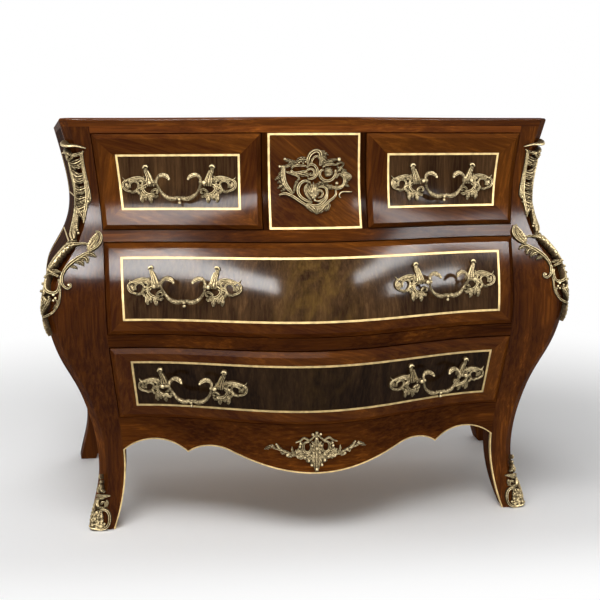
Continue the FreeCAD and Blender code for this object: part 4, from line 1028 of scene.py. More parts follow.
class CHEST_OT_cast_shoulders(bpy.types.Operator):
    """Cast the shoulder mounts round the front corners"""
    bl_idname = "chest.cast_shoulders"
    bl_label = "Cast shoulder mounts"
    bl_options = {"REGISTER", "UNDO"}

    def execute(self, context):
        m = Casting(standing(at_corner, CORNER_LIFT), step=1.5, across=13, undercut=UNDERCUT, unit=mount_unit())
        p = chart((750, 100), (404.5, 592.8), (-0.152, -0.148))
        # curl at the top with its gadrooned leaf
        m.lobe(p((742, 112), (785, 128), (808, 180), (798, 240), (758, 292), (700, 332), (640, 352)),
               [1.8, 2.6, 3.0, 3.2, 3.2, 3.0, 2.4], [1, 1.4, 1.5, 1.5, 1.4, 1.3, 1], reeded)
        m.lobe(p((768, 150), (748, 200), (718, 246), (682, 292), (640, 335)), [1.8, 5.0, 7.0, 7.0, 4.0],
               [0.9, 1.2, 1.3, 1.3, 1], ribbed, scallops=6, bite=0.3, veins=0.25)
        m.beads(p((752, 140), (712, 182), (682, 222), (658, 268), (650, 300)), [1.8, 2.8], 4.5)
        # long arched scroll over the corner
        m.lobe(p((668, 335), (650, 282), (600, 258), (545, 262), (475, 286), (400, 346), (325, 425),
                 (258, 510), (198, 590), (150, 665), (115, 745), (98, 820)),
               [2.2, 2.4, 2.4, 3.4, 5.2, 5.8, 6.0, 5.8, 5.2, 4.8, 4.2, 2.4],
               [1, 1.2, 1.2, 1.4, 1.5, 1.6, 1.6, 1.6, 1.6, 1.5, 1.4, 1], reeded)
        m.lobe(p((500, 290), (478, 262), (458, 236)), [3.4, 2.4, 0.6], [1.3, 1, 0.6], ridged)
        for k in range(9):
            x, y = 470 - 46 * k, 300 + 42 * k + 3.2 * k * k
            m.lobe(p((x, y), (x - 18, y + 30)), [1.2, 2.6, 1.2], 2.1, leafy)
        for k in range(6):
            x, y = 752 - 22 * k, 150 + 32 * k
            m.lobe(p((x, y), (x + 14, y + 34), (x + 10, y + 62)), [1.6, 2.4, 1.0], [1.2, 1.7, 1], leafy)
        # inner scroll: stem, volute and leaf
        m.lobe(p((655, 366), (585, 400), (505, 450), (425, 510), (360, 590), (332, 680), (345, 755),
                 (395, 797), (438, 776), (428, 742), (398, 752)),
               [2.6, 3.4, 4.0, 4.0, 3.8, 3.4, 3.0, 3.0, 2.6, 2.2, 1.4],
               [1, 1.3, 1.5, 1.5, 1.5, 1.4, 1.3, 1.3, 1.2, 1.2, 1], reeded)
        m.balls(p, 4.5, (414, 758, 2.4))
        m.leaves(p, (0.8, 1, 0.95, 0.4), (1.2, 1.3, 1.2, 0.7), (4.6, (615, 385), (680, 384), (742, 422)),
                 (5.4, (560, 425), (620, 440), (642, 492)), (4.6, (500, 470), (560, 486), (596, 524)),
                 (3.0, (440, 530), (490, 540), (520, 560)), veins=0.15)
        # oval ring on the arris
        m.lobe(p((298, 650), (235, 626), (185, 660), (164, 740), (182, 822), (232, 852), (282, 826),
                 (306, 756), (296, 688)), [2.4, 3.2, 3.4, 3.4, 3.4, 3.4, 3.0, 2.8, 2.0],
               [1.2, 1.5, 1.5, 1.5, 1.5, 1.4, 1.3, 1.3, 1], reeded)
        m.lobe(p((330, 600), (280, 596), (225, 622)), [1.6, 3.4, 1.8], 1.3, leafy, veins=0.2)
        m.lobe(p((320, 640), (316, 720), (312, 800)), [2.0, 2.4, 1.6], 1, ridged)
        m.balls(p, 4.0, (238, 872, 3.0), (202, 902, 2.6), (256, 912, 2.6), (232, 940, 2.4))
        # pouch below it
        m.lobe(p((312, 800), (308, 900), (288, 985), (240, 1062), (178, 1122), (100, 1162)),
               [2.0, 2.0, 2.2, 2.2, 2.2, 1.6], [1, 1.2, 1.2, 1.2, 1.2, 1], reeded)
        m.lobe(p((250, 925), (278, 960), (262, 1000), (225, 1040)), [1.6, 2.2, 2.0, 1.2], 1, leafy)
        m.lobe(p((205, 910), (176, 980), (140, 1050), (100, 1120)), [2.0, 3.2, 3.2, 1.6], 1, leafy, scallops=5,
               bite=0.3, veins=0.2)
        # side of the corner: small rings, leaves and the tail
        m.lobe(p((104, 800), (80, 850), (84, 900), (130, 892), (160, 860), (150, 810)),
               [1.8, 2.2, 2.2, 2.0, 2.0, 1.4], 1.3, reeded)
        m.lobe(p((150, 905), (168, 940), (140, 985), (95, 985), (78, 940), (90, 905)),
               [1.8, 2.2, 2.4, 2.4, 2.2, 1.4], 1.3, reeded)
        m.lobe(p((100, 985), (72, 1040), (62, 1100), (88, 1160)), [2.4, 4.2, 4.0, 1.6], [1, 1.4, 1.3, 1],
               ribbed, scallops=5, bite=0.3, veins=0.2)
        m.lobe(p((40, 760), (20, 860), (15, 960), (30, 1060)), [2.0, 4.0, 4.0, 2.0], [1, 1.2, 1.2, 1], leafy,
               scallops=7, bite=0.35, veins=0.25)
        m.lobe(p((520, 225), (400, 265), (270, 375), (150, 525), (70, 690), (30, 800)),
               [1.0, 2.6, 4.0, 4.2, 3.6, 1.6], [0.6, 1, 1, 1, 1, 0.7], leafy, scallops=10, bite=0.3, veins=0.2)
        m.lobe(p((92, 1150), (104, 1215), (130, 1280), (146, 1345), (172, 1385)), [2.4, 4.2, 4.4, 3.4, 1.0],
               [1, 1.1, 1.1, 0.9, 0.5], ribbed, scallops=5, bite=0.25, veins=0.15)
        m.mirrored().piece("shoulder_castings", "gilt", "carcass", "gilt_brass", ["shoulder_mounts"])
        return {"FINISHED"}


class CHEST_OT_cast_corners(bpy.types.Operator):
    """Cast the upper corner mounts"""
    bl_idname = "chest.cast_corners"
    bl_label = "Cast upper corner mounts"
    bl_options = {"REGISTER", "UNDO"}

    def execute(self, context):
        m = Casting(standing(at_corner, CORNER_LIFT), undercut=UNDERCUT, unit=mount_unit())
        p = chart((370, 190), (419.0, 745.9), (-0.155, -0.1545), lean=0.004)
        # rolled cap
        m.lobe(p((60, 100), (88, 112), (130, 136), (190, 156), (250, 166), (312, 180), (370, 196)),
               [2.0, 3.6, 3.6, 3.0, 2.4, 2.0, 1.0], [1, 1.8, 1.9, 1.7, 1.5, 1.3, 0.6], rounded)
        # second tier with its bosses
        m.lobe(p((60, 190), (110, 214), (160, 236), (205, 278)), [2.0, 3.2, 3.4, 2.0], [1, 1.5, 1.5, 1], ribbed)
        m.lobe(p((210, 262), (265, 272), (320, 250), (342, 226)), [2.2, 3.4, 3.0, 1.2], [1, 1.3, 1.2, 0.7],
               leafy, veins=0.2)
        m.balls(p, 5.5, (200, 287, 3.2))
        m.lobe(p((238, 262), (232, 305), (196, 322), (168, 298), (176, 262)), [1.4, 2.0, 2.2, 2.0, 1.2], 1.4,
               reeded)
        # front rails
        m.lobe(p((326, 240), (333, 335), (345, 430), (360, 520), (376, 600), (390, 680), (402, 755),
                 (408, 820), (386, 858)), [1.6, 1.9, 2.0, 2.1, 2.3, 2.5, 3.0, 3.0, 1.6],
               [1, 1.2, 1.2, 1.2, 1.2, 1.2, 1.3, 1.3, 1], reeded)
        m.balls(p, 4.5, (388, 836, 2.4))
        m.lobe(p((306, 270), (320, 380), (337, 500), (354, 620), (366, 720), (371, 800), (367, 880),
                 (358, 960), (348, 1035), (338, 1092)), [1.4, 1.8, 2.0, 2.2, 2.4, 2.5, 2.4, 2.2, 1.8, 0.8],
               [1, 1.1, 1.2, 1.2, 1.2, 1.2, 1.2, 1.1, 1, 0.5], reeded)
        # side rail
        m.lobe(p((182, 320), (208, 420), (232, 510), (254, 590), (264, 680), (260, 760), (248, 830),
                 (232, 900), (214, 975), (200, 1060), (196, 1150), (206, 1240), (232, 1306)),
               [1.8, 2.2, 2.4, 2.4, 2.4, 2.5, 2.6, 2.8, 3.0, 3.2, 3.2, 3.0, 1.2],
               [1, 1.2, 1.2, 1.2, 1.2, 1.2, 1.2, 1.3, 1.4, 1.5, 1.5, 1.4, 0.8], reeded)
        # leaves between the rails
        m.leaves(p, (0.6, 1, 0.6), (0.9, 1.2, 0.9), (6.0, (190, 345), (255, 372), (332, 318)),
                 (6.4, (220, 462), (285, 530), (356, 500)), (4.6, (250, 545), (300, 590), (350, 560)),
                 (6.0, (258, 660), (310, 696), (378, 650)), (5.4, (262, 780), (316, 806), (376, 770)),
                 (6.4, (240, 900), (300, 936), (376, 880)), (3.6, (232, 400), (262, 420), (330, 400)),
                 (3.4, (300, 930), (330, 1000), (345, 1060)), (3.0, (268, 720), (300, 740), (370, 712)),
                 (3.0, (270, 856), (310, 860), (360, 830)), veins=0.2)
        # tail
        m.lobe(p((285, 900), (262, 1000), (250, 1100), (246, 1200), (246, 1285)), [2.6, 5.2, 5.6, 4.4, 1.2],
               [1, 1.2, 1.2, 1, 0.6], ribbed, scallops=6, bite=0.2, veins=0.1)
        m.beads(p((300, 1020), (292, 1090), (285, 1160), (296, 1235)), [1.8, 2.6], 4.0)
        # leafy edge on the side
        m.lobe(p((150, 340), (170, 470), (196, 600), (212, 720), (200, 840), (172, 960), (150, 1080),
                 (160, 1200)), [2.0, 4.2, 4.2, 4.0, 4.0, 4.2, 4.0, 1.6],
               [0.8, 1.1, 1.1, 1.1, 1.1, 1.1, 1, 0.6], leafy, scallops=12, bite=0.35, veins=0.25)
        m.mirrored().piece("upper_corner_castings", "gilt", "carcass", "gilt_brass", ["upper_corner_mounts"])
        return {"FINISHED"}


class CHEST_OT_cast_feet(bpy.types.Operator):
    """Cast the foot mounts: bell-flowers above a scrolled shell"""
    bl_idname = "chest.cast_feet"
    bl_label = "Cast foot mounts"
    bl_options = {"REGISTER", "UNDO"}

    def execute(self, context):
        m = Casting(standing(at_corner, FOOT_LIFT), step=1.2, unit=mount_unit(LOW_MOUNT))
        p = chart((350, 120), (419.7, 101.0), (-0.108, -0.0985))
        # bell-flowers
        m.leaves(p, (0.5, 1, 0.7), (0.8, 1.3, 0.8), (2.0, (352, 70), (350, 110), (362, 160)),
                 (2.2, (372, 180), (374, 215), (368, 250)), (3.0, (352, 255), (362, 290), (384, 330)),
                 (2.6, (340, 320), (326, 370), (322, 440)), (3.0, (360, 325), (382, 372), (414, 408)),
                 (2.2, (300, 330), (290, 390), (300, 440)), veins=0.15)
        # knot
        m.lobe(p((280, 500), (360, 482), (430, 478), (502, 476)), [2.4, 3.2, 3.2, 1.4], [1.2, 1.5, 1.3, 0.7],
               ribbed)
        m.lobe(p((300, 545), (360, 530), (408, 512)), [2.2, 3.0, 1.6], 1.2, leafy, veins=0.15)
        m.lobe(p((318, 560), (306, 620), (318, 692)), [2.0, 2.6, 2.0], 1.3, reeded)
        m.lobe(p((358, 640), (376, 596), (404, 600), (412, 650), (398, 700)), [1.4, 2.0, 2.2, 2.0, 1.4], 1.2,
               reeded)
        m.lobe(p((436, 556), (452, 610), (436, 690)), [1.8, 2.4, 1.6], 1.2, reeded)
        m.lobe(p((300, 720), (350, 700), (400, 716)), [2.0, 2.8, 1.8], 1.2, leafy)
        # scroll round the toe
        m.lobe(p((330, 762), (385, 742), (440, 764), (478, 832), (488, 922), (470, 1020), (420, 1090),
                 (345, 1122), (270, 1126)), [2.2, 3.2, 3.6, 3.6, 3.6, 3.4, 3.4, 3.2, 2.2],
               [1.2, 1.6, 1.8, 1.8, 1.8, 1.8, 1.8, 1.7, 1.3], reeded)
        # shell and its lumps
        m.lobe(p((330, 770), (300, 860), (282, 960), (262, 1050), (240, 1112)), [4.0, 8.6, 10.0, 10.4, 7.0],
               [1, 1.2, 1.3, 1.3, 1], ribbed, scallops=6, bite=0.15, veins=0.3)
        m.leaves(p, (0.6, 1, 0.8), (1.5, 1.9, 1.5), (2.6, (352, 800), (300, 822), (236, 812)),
                 (2.8, (372, 868), (310, 892), (236, 880)), (3.0, (372, 940), (306, 964), (216, 950)),
                 (3.0, (378, 1010), (306, 1034), (196, 1020)), (2.8, (250, 1112), (300, 1060), (392, 1050)),
                 veins=0.2)
        m.balls(p, 4.2, (292, 798, 3.2), (338, 858, 2.8), (258, 920, 3.4), (345, 958, 3.4), (292, 1000, 3.0),
                (216, 1050, 3.6), (330, 1066, 4.0), (262, 1086, 3.2), (210, 960, 2.8), (236, 850, 2.8),
                (390, 1020, 2.6), (168, 1080, 3.0))
        m.lobe(p((130, 1108), (200, 1112), (290, 1118), (370, 1110)), [2.2, 3.2, 3.2, 1.6], [1, 1.5, 1.5, 1],
               rounded)
        m.lobe(p((262, 560), (235, 700), (205, 850), (170, 980), (140, 1070)), [1.4, 3.6, 4.4, 4.2, 2.0],
               [0.8, 1.3, 1.4, 1.4, 1], leafy, scallops=7, bite=0.3, veins=0.2)
        m.grounded().mirrored().piece("foot_castings", "gilt", "carcass", "gilt_brass", ["foot_mounts"])
        return {"FINISHED"}


LEAF_WIDTHS, LEAF_HEIGHTS = (0.6, 1.0, 0.9, 0.3), (0.8, 1.1, 1.0, 0.5)  # shares along a small leaf


class CHEST_OT_cast_cartouche(bpy.types.Operator):
    """Cast the uneven shell cartouche on the middle panel"""
    bl_idname = "chest.cast_cartouche"
    bl_label = "Cast middle cartouche"
    bl_options = {"REGISTER", "UNDO"}

    def execute(self, context):
        m = Casting(on_front(0.0), step=1.2, unit=mount_unit())
        p = chart((704, 550), (0.0, 681.0), (0.125, -0.123))

        def reed(width, height, *points, section=reeded, **more):
            widths = [width * k for k in (0.6, 0.9, 1.0, 1.0, 0.9, 0.5)]
            m.lobe(p(*points), widths, [height * k for k in (0.8, 1.0, 1.0, 1.0, 1.0, 0.7)], section, **more)

        def leaves(height, *rows):
            m.leaves(p, LEAF_WIDTHS, [height * share for share in LEAF_HEIGHTS], *rows, veins=0.2)

        # top arch, its opening and the sprig beside it
        reed(4.2, 1.4, (606, 300), (604, 220), (640, 135), (705, 92), (765, 98), (790, 150), (794, 230),
             (780, 310))
        reed(2.4, 1.2, (650, 300), (662, 230), (700, 178), (748, 168), (772, 210))
        leaves(1.1, (3.2, (780, 108), (830, 102), (868, 112)), (3.0, (800, 140), (862, 128), (912, 152)),
               (3.2, (800, 190), (850, 176), (890, 200)), (3.4, (790, 250), (840, 220), (884, 236)))
        # crest to the left
        reed(5.0, 1.3, (606, 236), (550, 212), (490, 214), (432, 250), section=leafy, scallops=5, bite=0.3,
             veins=0.3)
        reed(3.6, 1.1, (440, 262), (385, 250), (330, 236), (292, 222), (262, 204), section=leafy, scallops=5,
             bite=0.3, veins=0.2)
        reed(3.6, 1.1, (400, 290), (330, 296), (262, 322), (182, 318), section=leafy, scallops=5, bite=0.3,
             veins=0.2)
        m.balls(p, 3.4, (262, 206, 2.6))
        m.balls(p, 3.0, (183, 319, 2.4))
        m.balls(p, 6.0, (500, 244, 1.7), (530, 272, 1.7), (468, 262, 1.7), (566, 250, 1.7), (440, 290, 1.7))
        # lips of the slot
        reed(2.6, 1.2, (356, 346), (400, 312), (480, 306), (560, 314), (600, 336))
        reed(3.2, 1.2, (352, 372), (380, 412), (440, 420), (510, 404), (580, 384))
        # scroll left of the middle
        reed(3.2, 1.5, (590, 330), (640, 292), (696, 304), (734, 360), (734, 430), (696, 486), (636, 508),
             (596, 500))
        reed(2.6, 1.3, (560, 410), (610, 366), (662, 360), (694, 400), (676, 446), (624, 458))
        leaves(1.2, (4.4, (470, 440), (540, 440), (610, 420)), (3.4, (560, 460), (610, 450), (660, 410)))
        # left opening: its rims
        reed(2.6, 1.1, (272, 396), (330, 418), (400, 440), (452, 470), (480, 520))
        reed(2.8, 1.1, (470, 500), (428, 560), (400, 640), (384, 720), section=leafy, scallops=6, bite=0.3,
             veins=0.2)
        reed(4.6, 1.2, (250, 320), (236, 400), (240, 500), (266, 590), (310, 660), (372, 730), section=ribbed)
        leaves(1.1, (3.0, (250, 380), (205, 408), (160, 470)), (3.6, (246, 440), (190, 470), (106, 520)),
               (3.2, (250, 500), (200, 540), (142, 566)), (3.4, (262, 560), (210, 606), (144, 648)),
               (3.0, (290, 620), (240, 664), (192, 690)), (2.8, (236, 360), (214, 340), (206, 330)))
        # long reed at the lower left
        reed(3.4, 1.3, (166, 752), (238, 728), (318, 748), (400, 794), (480, 852), (556, 904), (610, 936))
        # great bowl
        reed(3.6, 1.5, (640, 566), (562, 540), (492, 572), (450, 650), (454, 730), (496, 792), (566, 838),
             (652, 862))
        reed(2.6, 1.3, (600, 580), (556, 640), (560, 720), (600, 790), (650, 830))
        reed(3.6, 1.4, (584, 878), (660, 916), (744, 912), (820, 862), (872, 790), (882, 716))
        reed(2.8, 1.2, (1012, 680), (1014, 744), (970, 806), (902, 852), (846, 904), (776, 944), (700, 940))
        m.fan(p((690, 812))[0], [22, 30, 33, 32, 27], 62, 132, 8, 3.0, 1.1)
        reed(3.0, 1.6, (748, 640), (816, 628), (868, 672), (874, 744), (836, 812), (770, 850), (706, 846))
        reed(2.4, 1.6, (722, 700), (780, 690), (812, 730), (790, 784), (742, 796))
        leaves(1.5, (3.6, (790, 600), (840, 570), (900, 590)), (3.2, (860, 610), (920, 620), (960, 600)),
               (3.0, (800, 560), (760, 580), (740, 620)), (3.0, (880, 660), (930, 650), (980, 660)))
        m.balls(p, 6.4, (655, 712, 2.0), (660, 800, 2.2), (690, 838, 2.4), (640, 762, 1.8), (700, 770, 2.0))
        # bowl at the upper right
        reed(3.4, 1.5, (836, 366), (786, 396), (780, 470), (830, 528), (902, 544), (970, 508), (1012, 440),
             (1014, 372))
        m.fan(p((868, 470))[0], [15, 19, 20, 17], 18, 88, 6, 2.2, 1.1)
        reed(3.4, 1.2, (790, 300), (850, 262), (930, 236), (1010, 222), (1056, 214), section=leafy, scallops=6,
             bite=0.3, veins=0.25)
        reed(2.6, 1.2, (820, 330), (880, 300), (960, 290), (1030, 300))
        m.balls(p, 3.4, (1068, 216, 4.0))
        leaves(1.1, (3.4, (900, 262), (940, 250), (990, 260)), (2.6, (1080, 250), (1120, 270), (1156, 292)),
               (2.8, (1040, 410), (1090, 360), (1142, 300)), (2.8, (1040, 330), (1110, 360), (1190, 384)),
               (2.8, (1020, 300), (1060, 280), (1090, 250)), (2.6, (1100, 420), (1150, 400), (1196, 410)))
        # ring and shell at the right
        reed(2.8, 1.3, (1024, 500), (1066, 446), (1122, 466), (1150, 530), (1130, 600), (1066, 638),
             (1008, 620))
        reed(5.0, 1.1, (1120, 440), (1180, 446), (1226, 470), (1254, 512), section=ribbed, scallops=3, bite=0.2)
        m.balls(p, 4.4, (1030, 580, 3.2))
        leaves(1.1, (2.8, (1146, 540), (1180, 556), (1212, 566)), (2.6, (1140, 590), (1186, 612), (1232, 632)),
               (3.0, (1160, 480), (1210, 520), (1256, 500)))
        reed(3.2, 1.2, (950, 622), (1020, 656), (1092, 646), (1150, 596))
        reed(1.7, 1.1, (1262, 712), (1184, 712), (1112, 714), (1072, 742), (1068, 784), (1092, 796),
             section=rounded)
        # leaves at the foot
        leaves(1.2, (4.6, (572, 880), (620, 950), (690, 1012)), (4.8, (640, 916), (690, 970), (712, 1036)),
               (4.8, (850, 900), (800, 968), (722, 1024)), (4.2, (900, 872), (888, 940), (850, 996)),
               (3.4, (560, 900), (590, 940), (600, 960)), (4.0, (740, 930), (730, 980), (714, 1030)))
        m.piece("middle_cartouche", "gilt", "carcass", "gilt_brass", ["center_panel_mount"])
        return {"FINISHED"}


class CHEST_OT_cast_apron_mount(bpy.types.Operator):
    """Cast the apron mount with its leafy sprays"""
    bl_idname = "chest.cast_apron_mount"
    bl_label = "Cast apron mount"
    bl_options = {"REGISTER", "UNDO"}

    def execute(self, context):
        m = Casting(on_front(0.0), step=1.1, across=9, unit=mount_unit(LOW_MOUNT))

        def strokes(side):
            """Tools that draw on one side; the drawing is of the left-hand side."""
            p = chart((697, 0), (-5.0, 226.7), (side * -0.155, -0.17))

            def reed(width, height, *points, section=reeded, **more):
                m.lobe(p(*points), [width * 0.6, width, width, width * 0.5], height, section, **more)

            def leaves(height, *rows):
                m.leaves(p, LEAF_WIDTHS, [height * share for share in LEAF_HEIGHTS], *rows, veins=0.2)
            return p, reed, leaves

        for side in (-1, 1):
            p, reed, leaves = strokes(side)
            m.balls(p, 3.4, (650, 112, 3.0))
            reed(2.0, 1.2, (690, 120), (664, 138), (640, 162), (604, 184), (574, 166), (540, 156), (500, 186),
                 (442, 208))
            reed(3.0, 1.3, (606, 198), (560, 208), (536, 246), (542, 298), (574, 326), (612, 318), (630, 276),
                 (618, 222))
            reed(2.6, 1.3, (640, 200), (664, 240), (664, 290), (640, 330))
            leaves(1.2, (5.0, (560, 330), (506, 336), (452, 318)), (5.0, (548, 356), (494, 372), (440, 350)),
                   (4.0, (524, 290), (492, 304), (470, 286)), (4.6, (600, 360), (560, 384), (520, 392)),
                   (3.2, (530, 236), (506, 214), (500, 196)), (3.6, (516, 320), (480, 330), (440, 300)),
                   (3.6, (690, 300), (668, 260), (660, 220)), (4.6, (612, 380), (590, 420), (596, 452)),
                   (4.0, (680, 400), (664, 450), (660, 500)), (4.4, (640, 360), (612, 392), (600, 400)))
            m.balls(p, 3.6, (502, 222, 2.6))
            m.balls(p, 3.6, (494, 256, 3.0))
            m.balls(p, 5.4, (640, 246, 2.6))
            leaves(1.3, (4.0, (697, 330), (660, 300), (628, 262)), (3.2, (697, 260), (666, 226), (640, 200)),
                   (4.0, (660, 350), (610, 362), (560, 352)), (4.0, (690, 360), (650, 390), (604, 392)),
                   (3.6, (600, 392), (600, 412), (590, 440)), (4.2, (660, 390), (640, 430), (628, 478)),
                   (4.0, (560, 372), (510, 366), (470, 340)), (3.6, (540, 392), (490, 384), (440, 360)))
            m.balls(p, 4.4, (600, 424, 2.8), (636, 474, 3.0), (552, 384, 2.8), (600, 352, 2.4), (660, 330, 2.6))
            # spray
            reed(2.6, 1.0, (520, 380), (440, 364), (360, 336), (280, 308), (200, 290), section=leafy,
                 scallops=6, bite=0.3, veins=0.2)
            leaves(1.0, (2.6, (430, 350), (402, 306), (398, 262)), (3.0, (430, 340), (470, 312), (500, 304)),
                   (3.2, (410, 366), (370, 372), (334, 356)), (2.6, (330, 322), (290, 340), (262, 330)),
                   (2.2, (250, 300), (230, 262), (208, 236)), (2.6, (200, 296), (170, 262), (160, 240)),
                   (3.6, (172, 252), (120, 278), (64, 304)), (2.6, (280, 306), (246, 282), (216, 280)))
            m.balls(p, 3.0, (344, 360, 3.2))
            m.balls(p, 2.2, (210, 236, 2.0))
        m.ball(-5.0, 211.0, 3.4, 3.6)
        m.ball(-5.0, 199.0, 3.2, 4.6)
        m.lobe([(-5, 209), (-5, 190), (-5, 168)], [2.6, 4.4, 3.0], [1.2, 1.6, 1.4], ribbed)
        m.lobe([(-5, 172), (-5, 158), (-5, 145), (-5, 133)], [5.0, 9.0, 7.0, 3.8], [1.4, 1.6, 1.4, 1], ribbed,
               scallops=3, bite=0.2, veins=0.1)
        m.ball(-5.0, 180.0, 3.4, 6.4)
        m.ball(-5.0, 138.0, 3.4, 4.6)
        m.piece("apron_casting", "gilt", "carcass", "gilt_brass", ["apron_mount"])
        return {"FINISHED"}


INSIDE = 0.2  # a place inside the drawer, in metres behind the handle
# outlines from the drawer's front inwards, and how many sides they are turned with
WASHER = ((-0.2, 0.5), (-0.2, 6.5), (1.2, 6.5), (1.3, 0.5)), 24
NUT = ((1.2, 0.5), (1.2, 4.4), (1.5, 4.7), (4.6, 4.7), (4.9, 4.3), (4.9, 0.5)), 6
BOLT_END = ((4.6, 2.0), (8.0, 2.0), (8.5, 1.5), (8.5, 0.3)), 12


class CHEST_OT_fit_nuts(bpy.types.Operator):
    """Fit the nuts that hold the handles, inside the drawers"""
    bl_idname = "chest.fit_nuts"
    bl_label = "Fit handle nuts"
    bl_options = {"REGISTER", "UNDO"}

    def execute(self, context):
        for level, drawer in LEVEL_OF.items():
            pivot, along, out = handle_frame(level)
            mesh = frame["nodes"][drawer + "_front"].data
            tree = BVHTree.FromPolygons([v.co for v in mesh.vertices], [p.vertices for p in mesh.polygons])
            nuts = Casting(None)
            for sign in (-1, 1):
                spot = pivot + along * sign * POST_FROM_MIDDLE * MM
                hit = tree.ray_cast(spot - out * INSIDE, out)[0]
                if hit is None:
                    raise RuntimeError(f"No drawer front behind the {level} handle")
                for outline, sides in (WASHER, NUT, BOLT_END):
                    nuts.turned(hit, -out, outline, sides)
            fit_to_drawers(nuts, level, "_nuts", "steel", "string_brass")
        return {"FINISHED"}


SENSOR = 36.0
FLOOR_LEVEL = -0.0003
FLOOR_RINGS, SPOKES = (0.6, 1.2, 2.4, 5.0, 12.0, 40.0), 64
WHITE_FROM_MIDDLE, WHITE_IN_FRONT = (0.9, 2.0), (0.24, 0.52)  # where the floor passes into white
# strips that only shine in the lacquer: place, size and share of the window light
WINDOWS = (("window_left", (-1.18, -2.4, 1.77), (1.0, 0.34), 1.0),
           ("window_right", (2.5, -2.4, 1.55), (0.45, 0.45), 0.5),
           ("window_high", (2.0, -2.4, 2.14), (1.2, 0.28), 0.8))


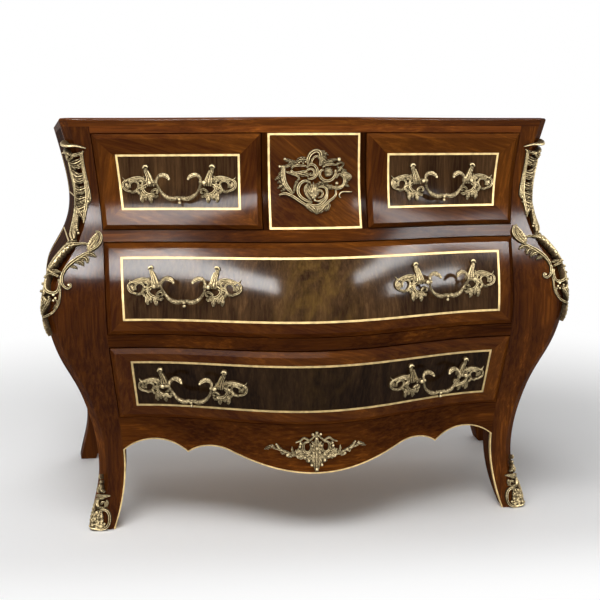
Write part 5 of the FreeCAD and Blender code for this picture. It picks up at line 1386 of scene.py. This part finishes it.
class CHEST_OT_set_stage(bpy.types.Operator):
    """Set the floor, the lamps, the room light and the camera"""
    bl_idname = "chest.set_stage"
    bl_label = "Set stage"
    bl_options = {"REGISTER", "UNDO"}

    def execute(self, context):
        scene, studio = context.scene, context.scene.chest_studio
        floor = bpy.data.meshes.new("floor")
        turns = [2 * math.pi * k / SPOKES for k in range(SPOKES)]
        corners = [(0, 0, FLOOR_LEVEL)]
        for r in FLOOR_RINGS:
            corners += [(r * math.cos(turn), r * math.sin(turn), FLOOR_LEVEL) for turn in turns]
        faces = [(0, 1 + k, 1 + (k + 1) % SPOKES) for k in range(SPOKES)]
        for ring in range(len(FLOOR_RINGS) - 1):
            a, b = 1 + SPOKES * ring, 1 + SPOKES * (ring + 1)
            faces += [(a + k, b + k, b + (k + 1) % SPOKES, a + (k + 1) % SPOKES) for k in range(SPOKES)]
        floor.from_pydata(corners, [], faces)
        floor.materials.append(self.floor_finish())
        ground = bpy.data.objects.new("floor", floor)
        scene.collection.objects.link(ground)
        self.room(scene, studio.fill)
        for name, place, size, share in WINDOWS:
            strip = self.panel(name, place, (0.0, -0.1, 0.45), size, studio.window_light * share)
            strip.visible_diffuse = False
        self.panel("overhead", (-0.6, -1.1, 2.5), (0.0, 0.0, 0.3), (2.0, 1.3), studio.sky_light)
        self.panel("back_light", (0.3, 2.6, 2.0), (0.0, 0.0, 0.4), (3.0, 1.6), studio.sky_light * 0.5)
        camera = bpy.data.cameras.new("camera")
        camera.lens = studio.lens
        camera.sensor_width = SENSOR
        viewer = bpy.data.objects.new("camera", camera)
        viewer.location = studio.camera_place
        viewer.rotation_euler = studio.camera_turn
        scene.collection.objects.link(viewer)
        scene.camera = viewer
        scene.view_settings.view_transform = "Standard"
        return {"FINISHED"}

    def panel(self, name, place, target, size, power):
        """A flat lamp that faces a point."""
        lamp = bpy.data.lights.new(name, "AREA")
        lamp.shape = "RECTANGLE"
        lamp.size, lamp.size_y = size
        lamp.energy = power
        holder = bpy.data.objects.new(name, lamp)
        holder.location = place
        holder.rotation_euler = (Vector(target) - Vector(place)).to_track_quat("-Z", "Y").to_euler()
        bpy.context.scene.collection.objects.link(holder)
        return holder

    def room(self, scene, fill):
        """Even light all round, and white behind the chest and in its reflections."""
        world = bpy.data.worlds.new("room")
        world.use_nodes = True
        light = Graph(world.node_tree, "Background")
        light.surface.inputs["Color"].default_value = (1.0, 1.0, 1.0, 1.0)
        seen = light.seen()
        light.feed(Strength=light.node("ShaderNodeMapRange", {}, {"Value": seen, "To Min": fill, "To Max": 1.0}))
        scene.world = world

    def floor_finish(self):
        """A pale floor that passes into white further out, where only the camera and reflections see it."""
        f = Finish("studio_floor", Base_Color=(0.9, 0.9, 0.9, 1.0), Roughness=0.9, Specular_IOR_Level=0.1)
        x, y, _ = f.axes()
        outward = (x * x + y * y).math("SQRT").step(*WHITE_FROM_MIDDLE)
        far = outward.most((y * -1.0).step(*WHITE_IN_FRONT))
        glow = f.node("ShaderNodeEmission", {}, {"Strength": 1.0})
        plain = Val(f, f.surface.outputs[0])
        floor = f.node("ShaderNodeMixShader", {}, {0: far * f.seen(), 1: plain, 2: glow})
        f.tree.links.new(floor.socket, f.tree.nodes["Material Output"].inputs["Surface"])
        return f.material


STEPS = (CHEST_OT_veneer_case, CHEST_OT_veneer_drawers, CHEST_OT_finish_inside, CHEST_OT_lay_brass_lines,
         CHEST_OT_cast_plates, CHEST_OT_cast_bails, CHEST_OT_cast_shoulders, CHEST_OT_cast_corners,
         CHEST_OT_cast_feet, CHEST_OT_cast_cartouche, CHEST_OT_cast_apron_mount, CHEST_OT_fit_nuts,
         CHEST_OT_set_stage)


class CHEST_PT_dressing(bpy.types.Panel):
    """The steps that dress the chest, in their order"""
    bl_idname = "CHEST_PT_dressing"
    bl_label = "Bombe chest"
    bl_space_type = "VIEW_3D"
    bl_region_type = "UI"
    bl_category = "Chest"

    def draw(self, context):
        for step in STEPS:
            self.layout.operator(step.bl_idname)
        for group in ("chest_colours", "chest_relief", "chest_studio"):
            settings = getattr(context.scene, group)
            column = self.layout.column()
            for name in settings.bl_rna.properties.keys():
                if name not in ("rna_type", "name"):
                    column.prop(settings, name)


GROUPS = {"chest_colours": ChestColours, "chest_relief": ChestRelief, "chest_studio": ChestStudio}
CLASSES = tuple(GROUPS.values()) + STEPS + (CHEST_PT_dressing,)


def register():
    """Makes the steps, the panel and the settings known."""
    for each in CLASSES:
        bpy.utils.register_class(each)
    for name, group in GROUPS.items():
        setattr(bpy.types.Scene, name, bpy.props.PointerProperty(type=group))


def unregister():
    """Takes them away again."""
    for name in GROUPS:
        delattr(bpy.types.Scene, name)
    for each in reversed(CLASSES):
        bpy.utils.unregister_class(each)


def main():
    """Dresses the chest, step by step."""
    register()
    for step in STEPS:
        group, name = step.bl_idname.split(".")
        getattr(getattr(bpy.ops, group), name)()
    bpy.context.view_layer.update()


if __name__ == "__main__":
    main()
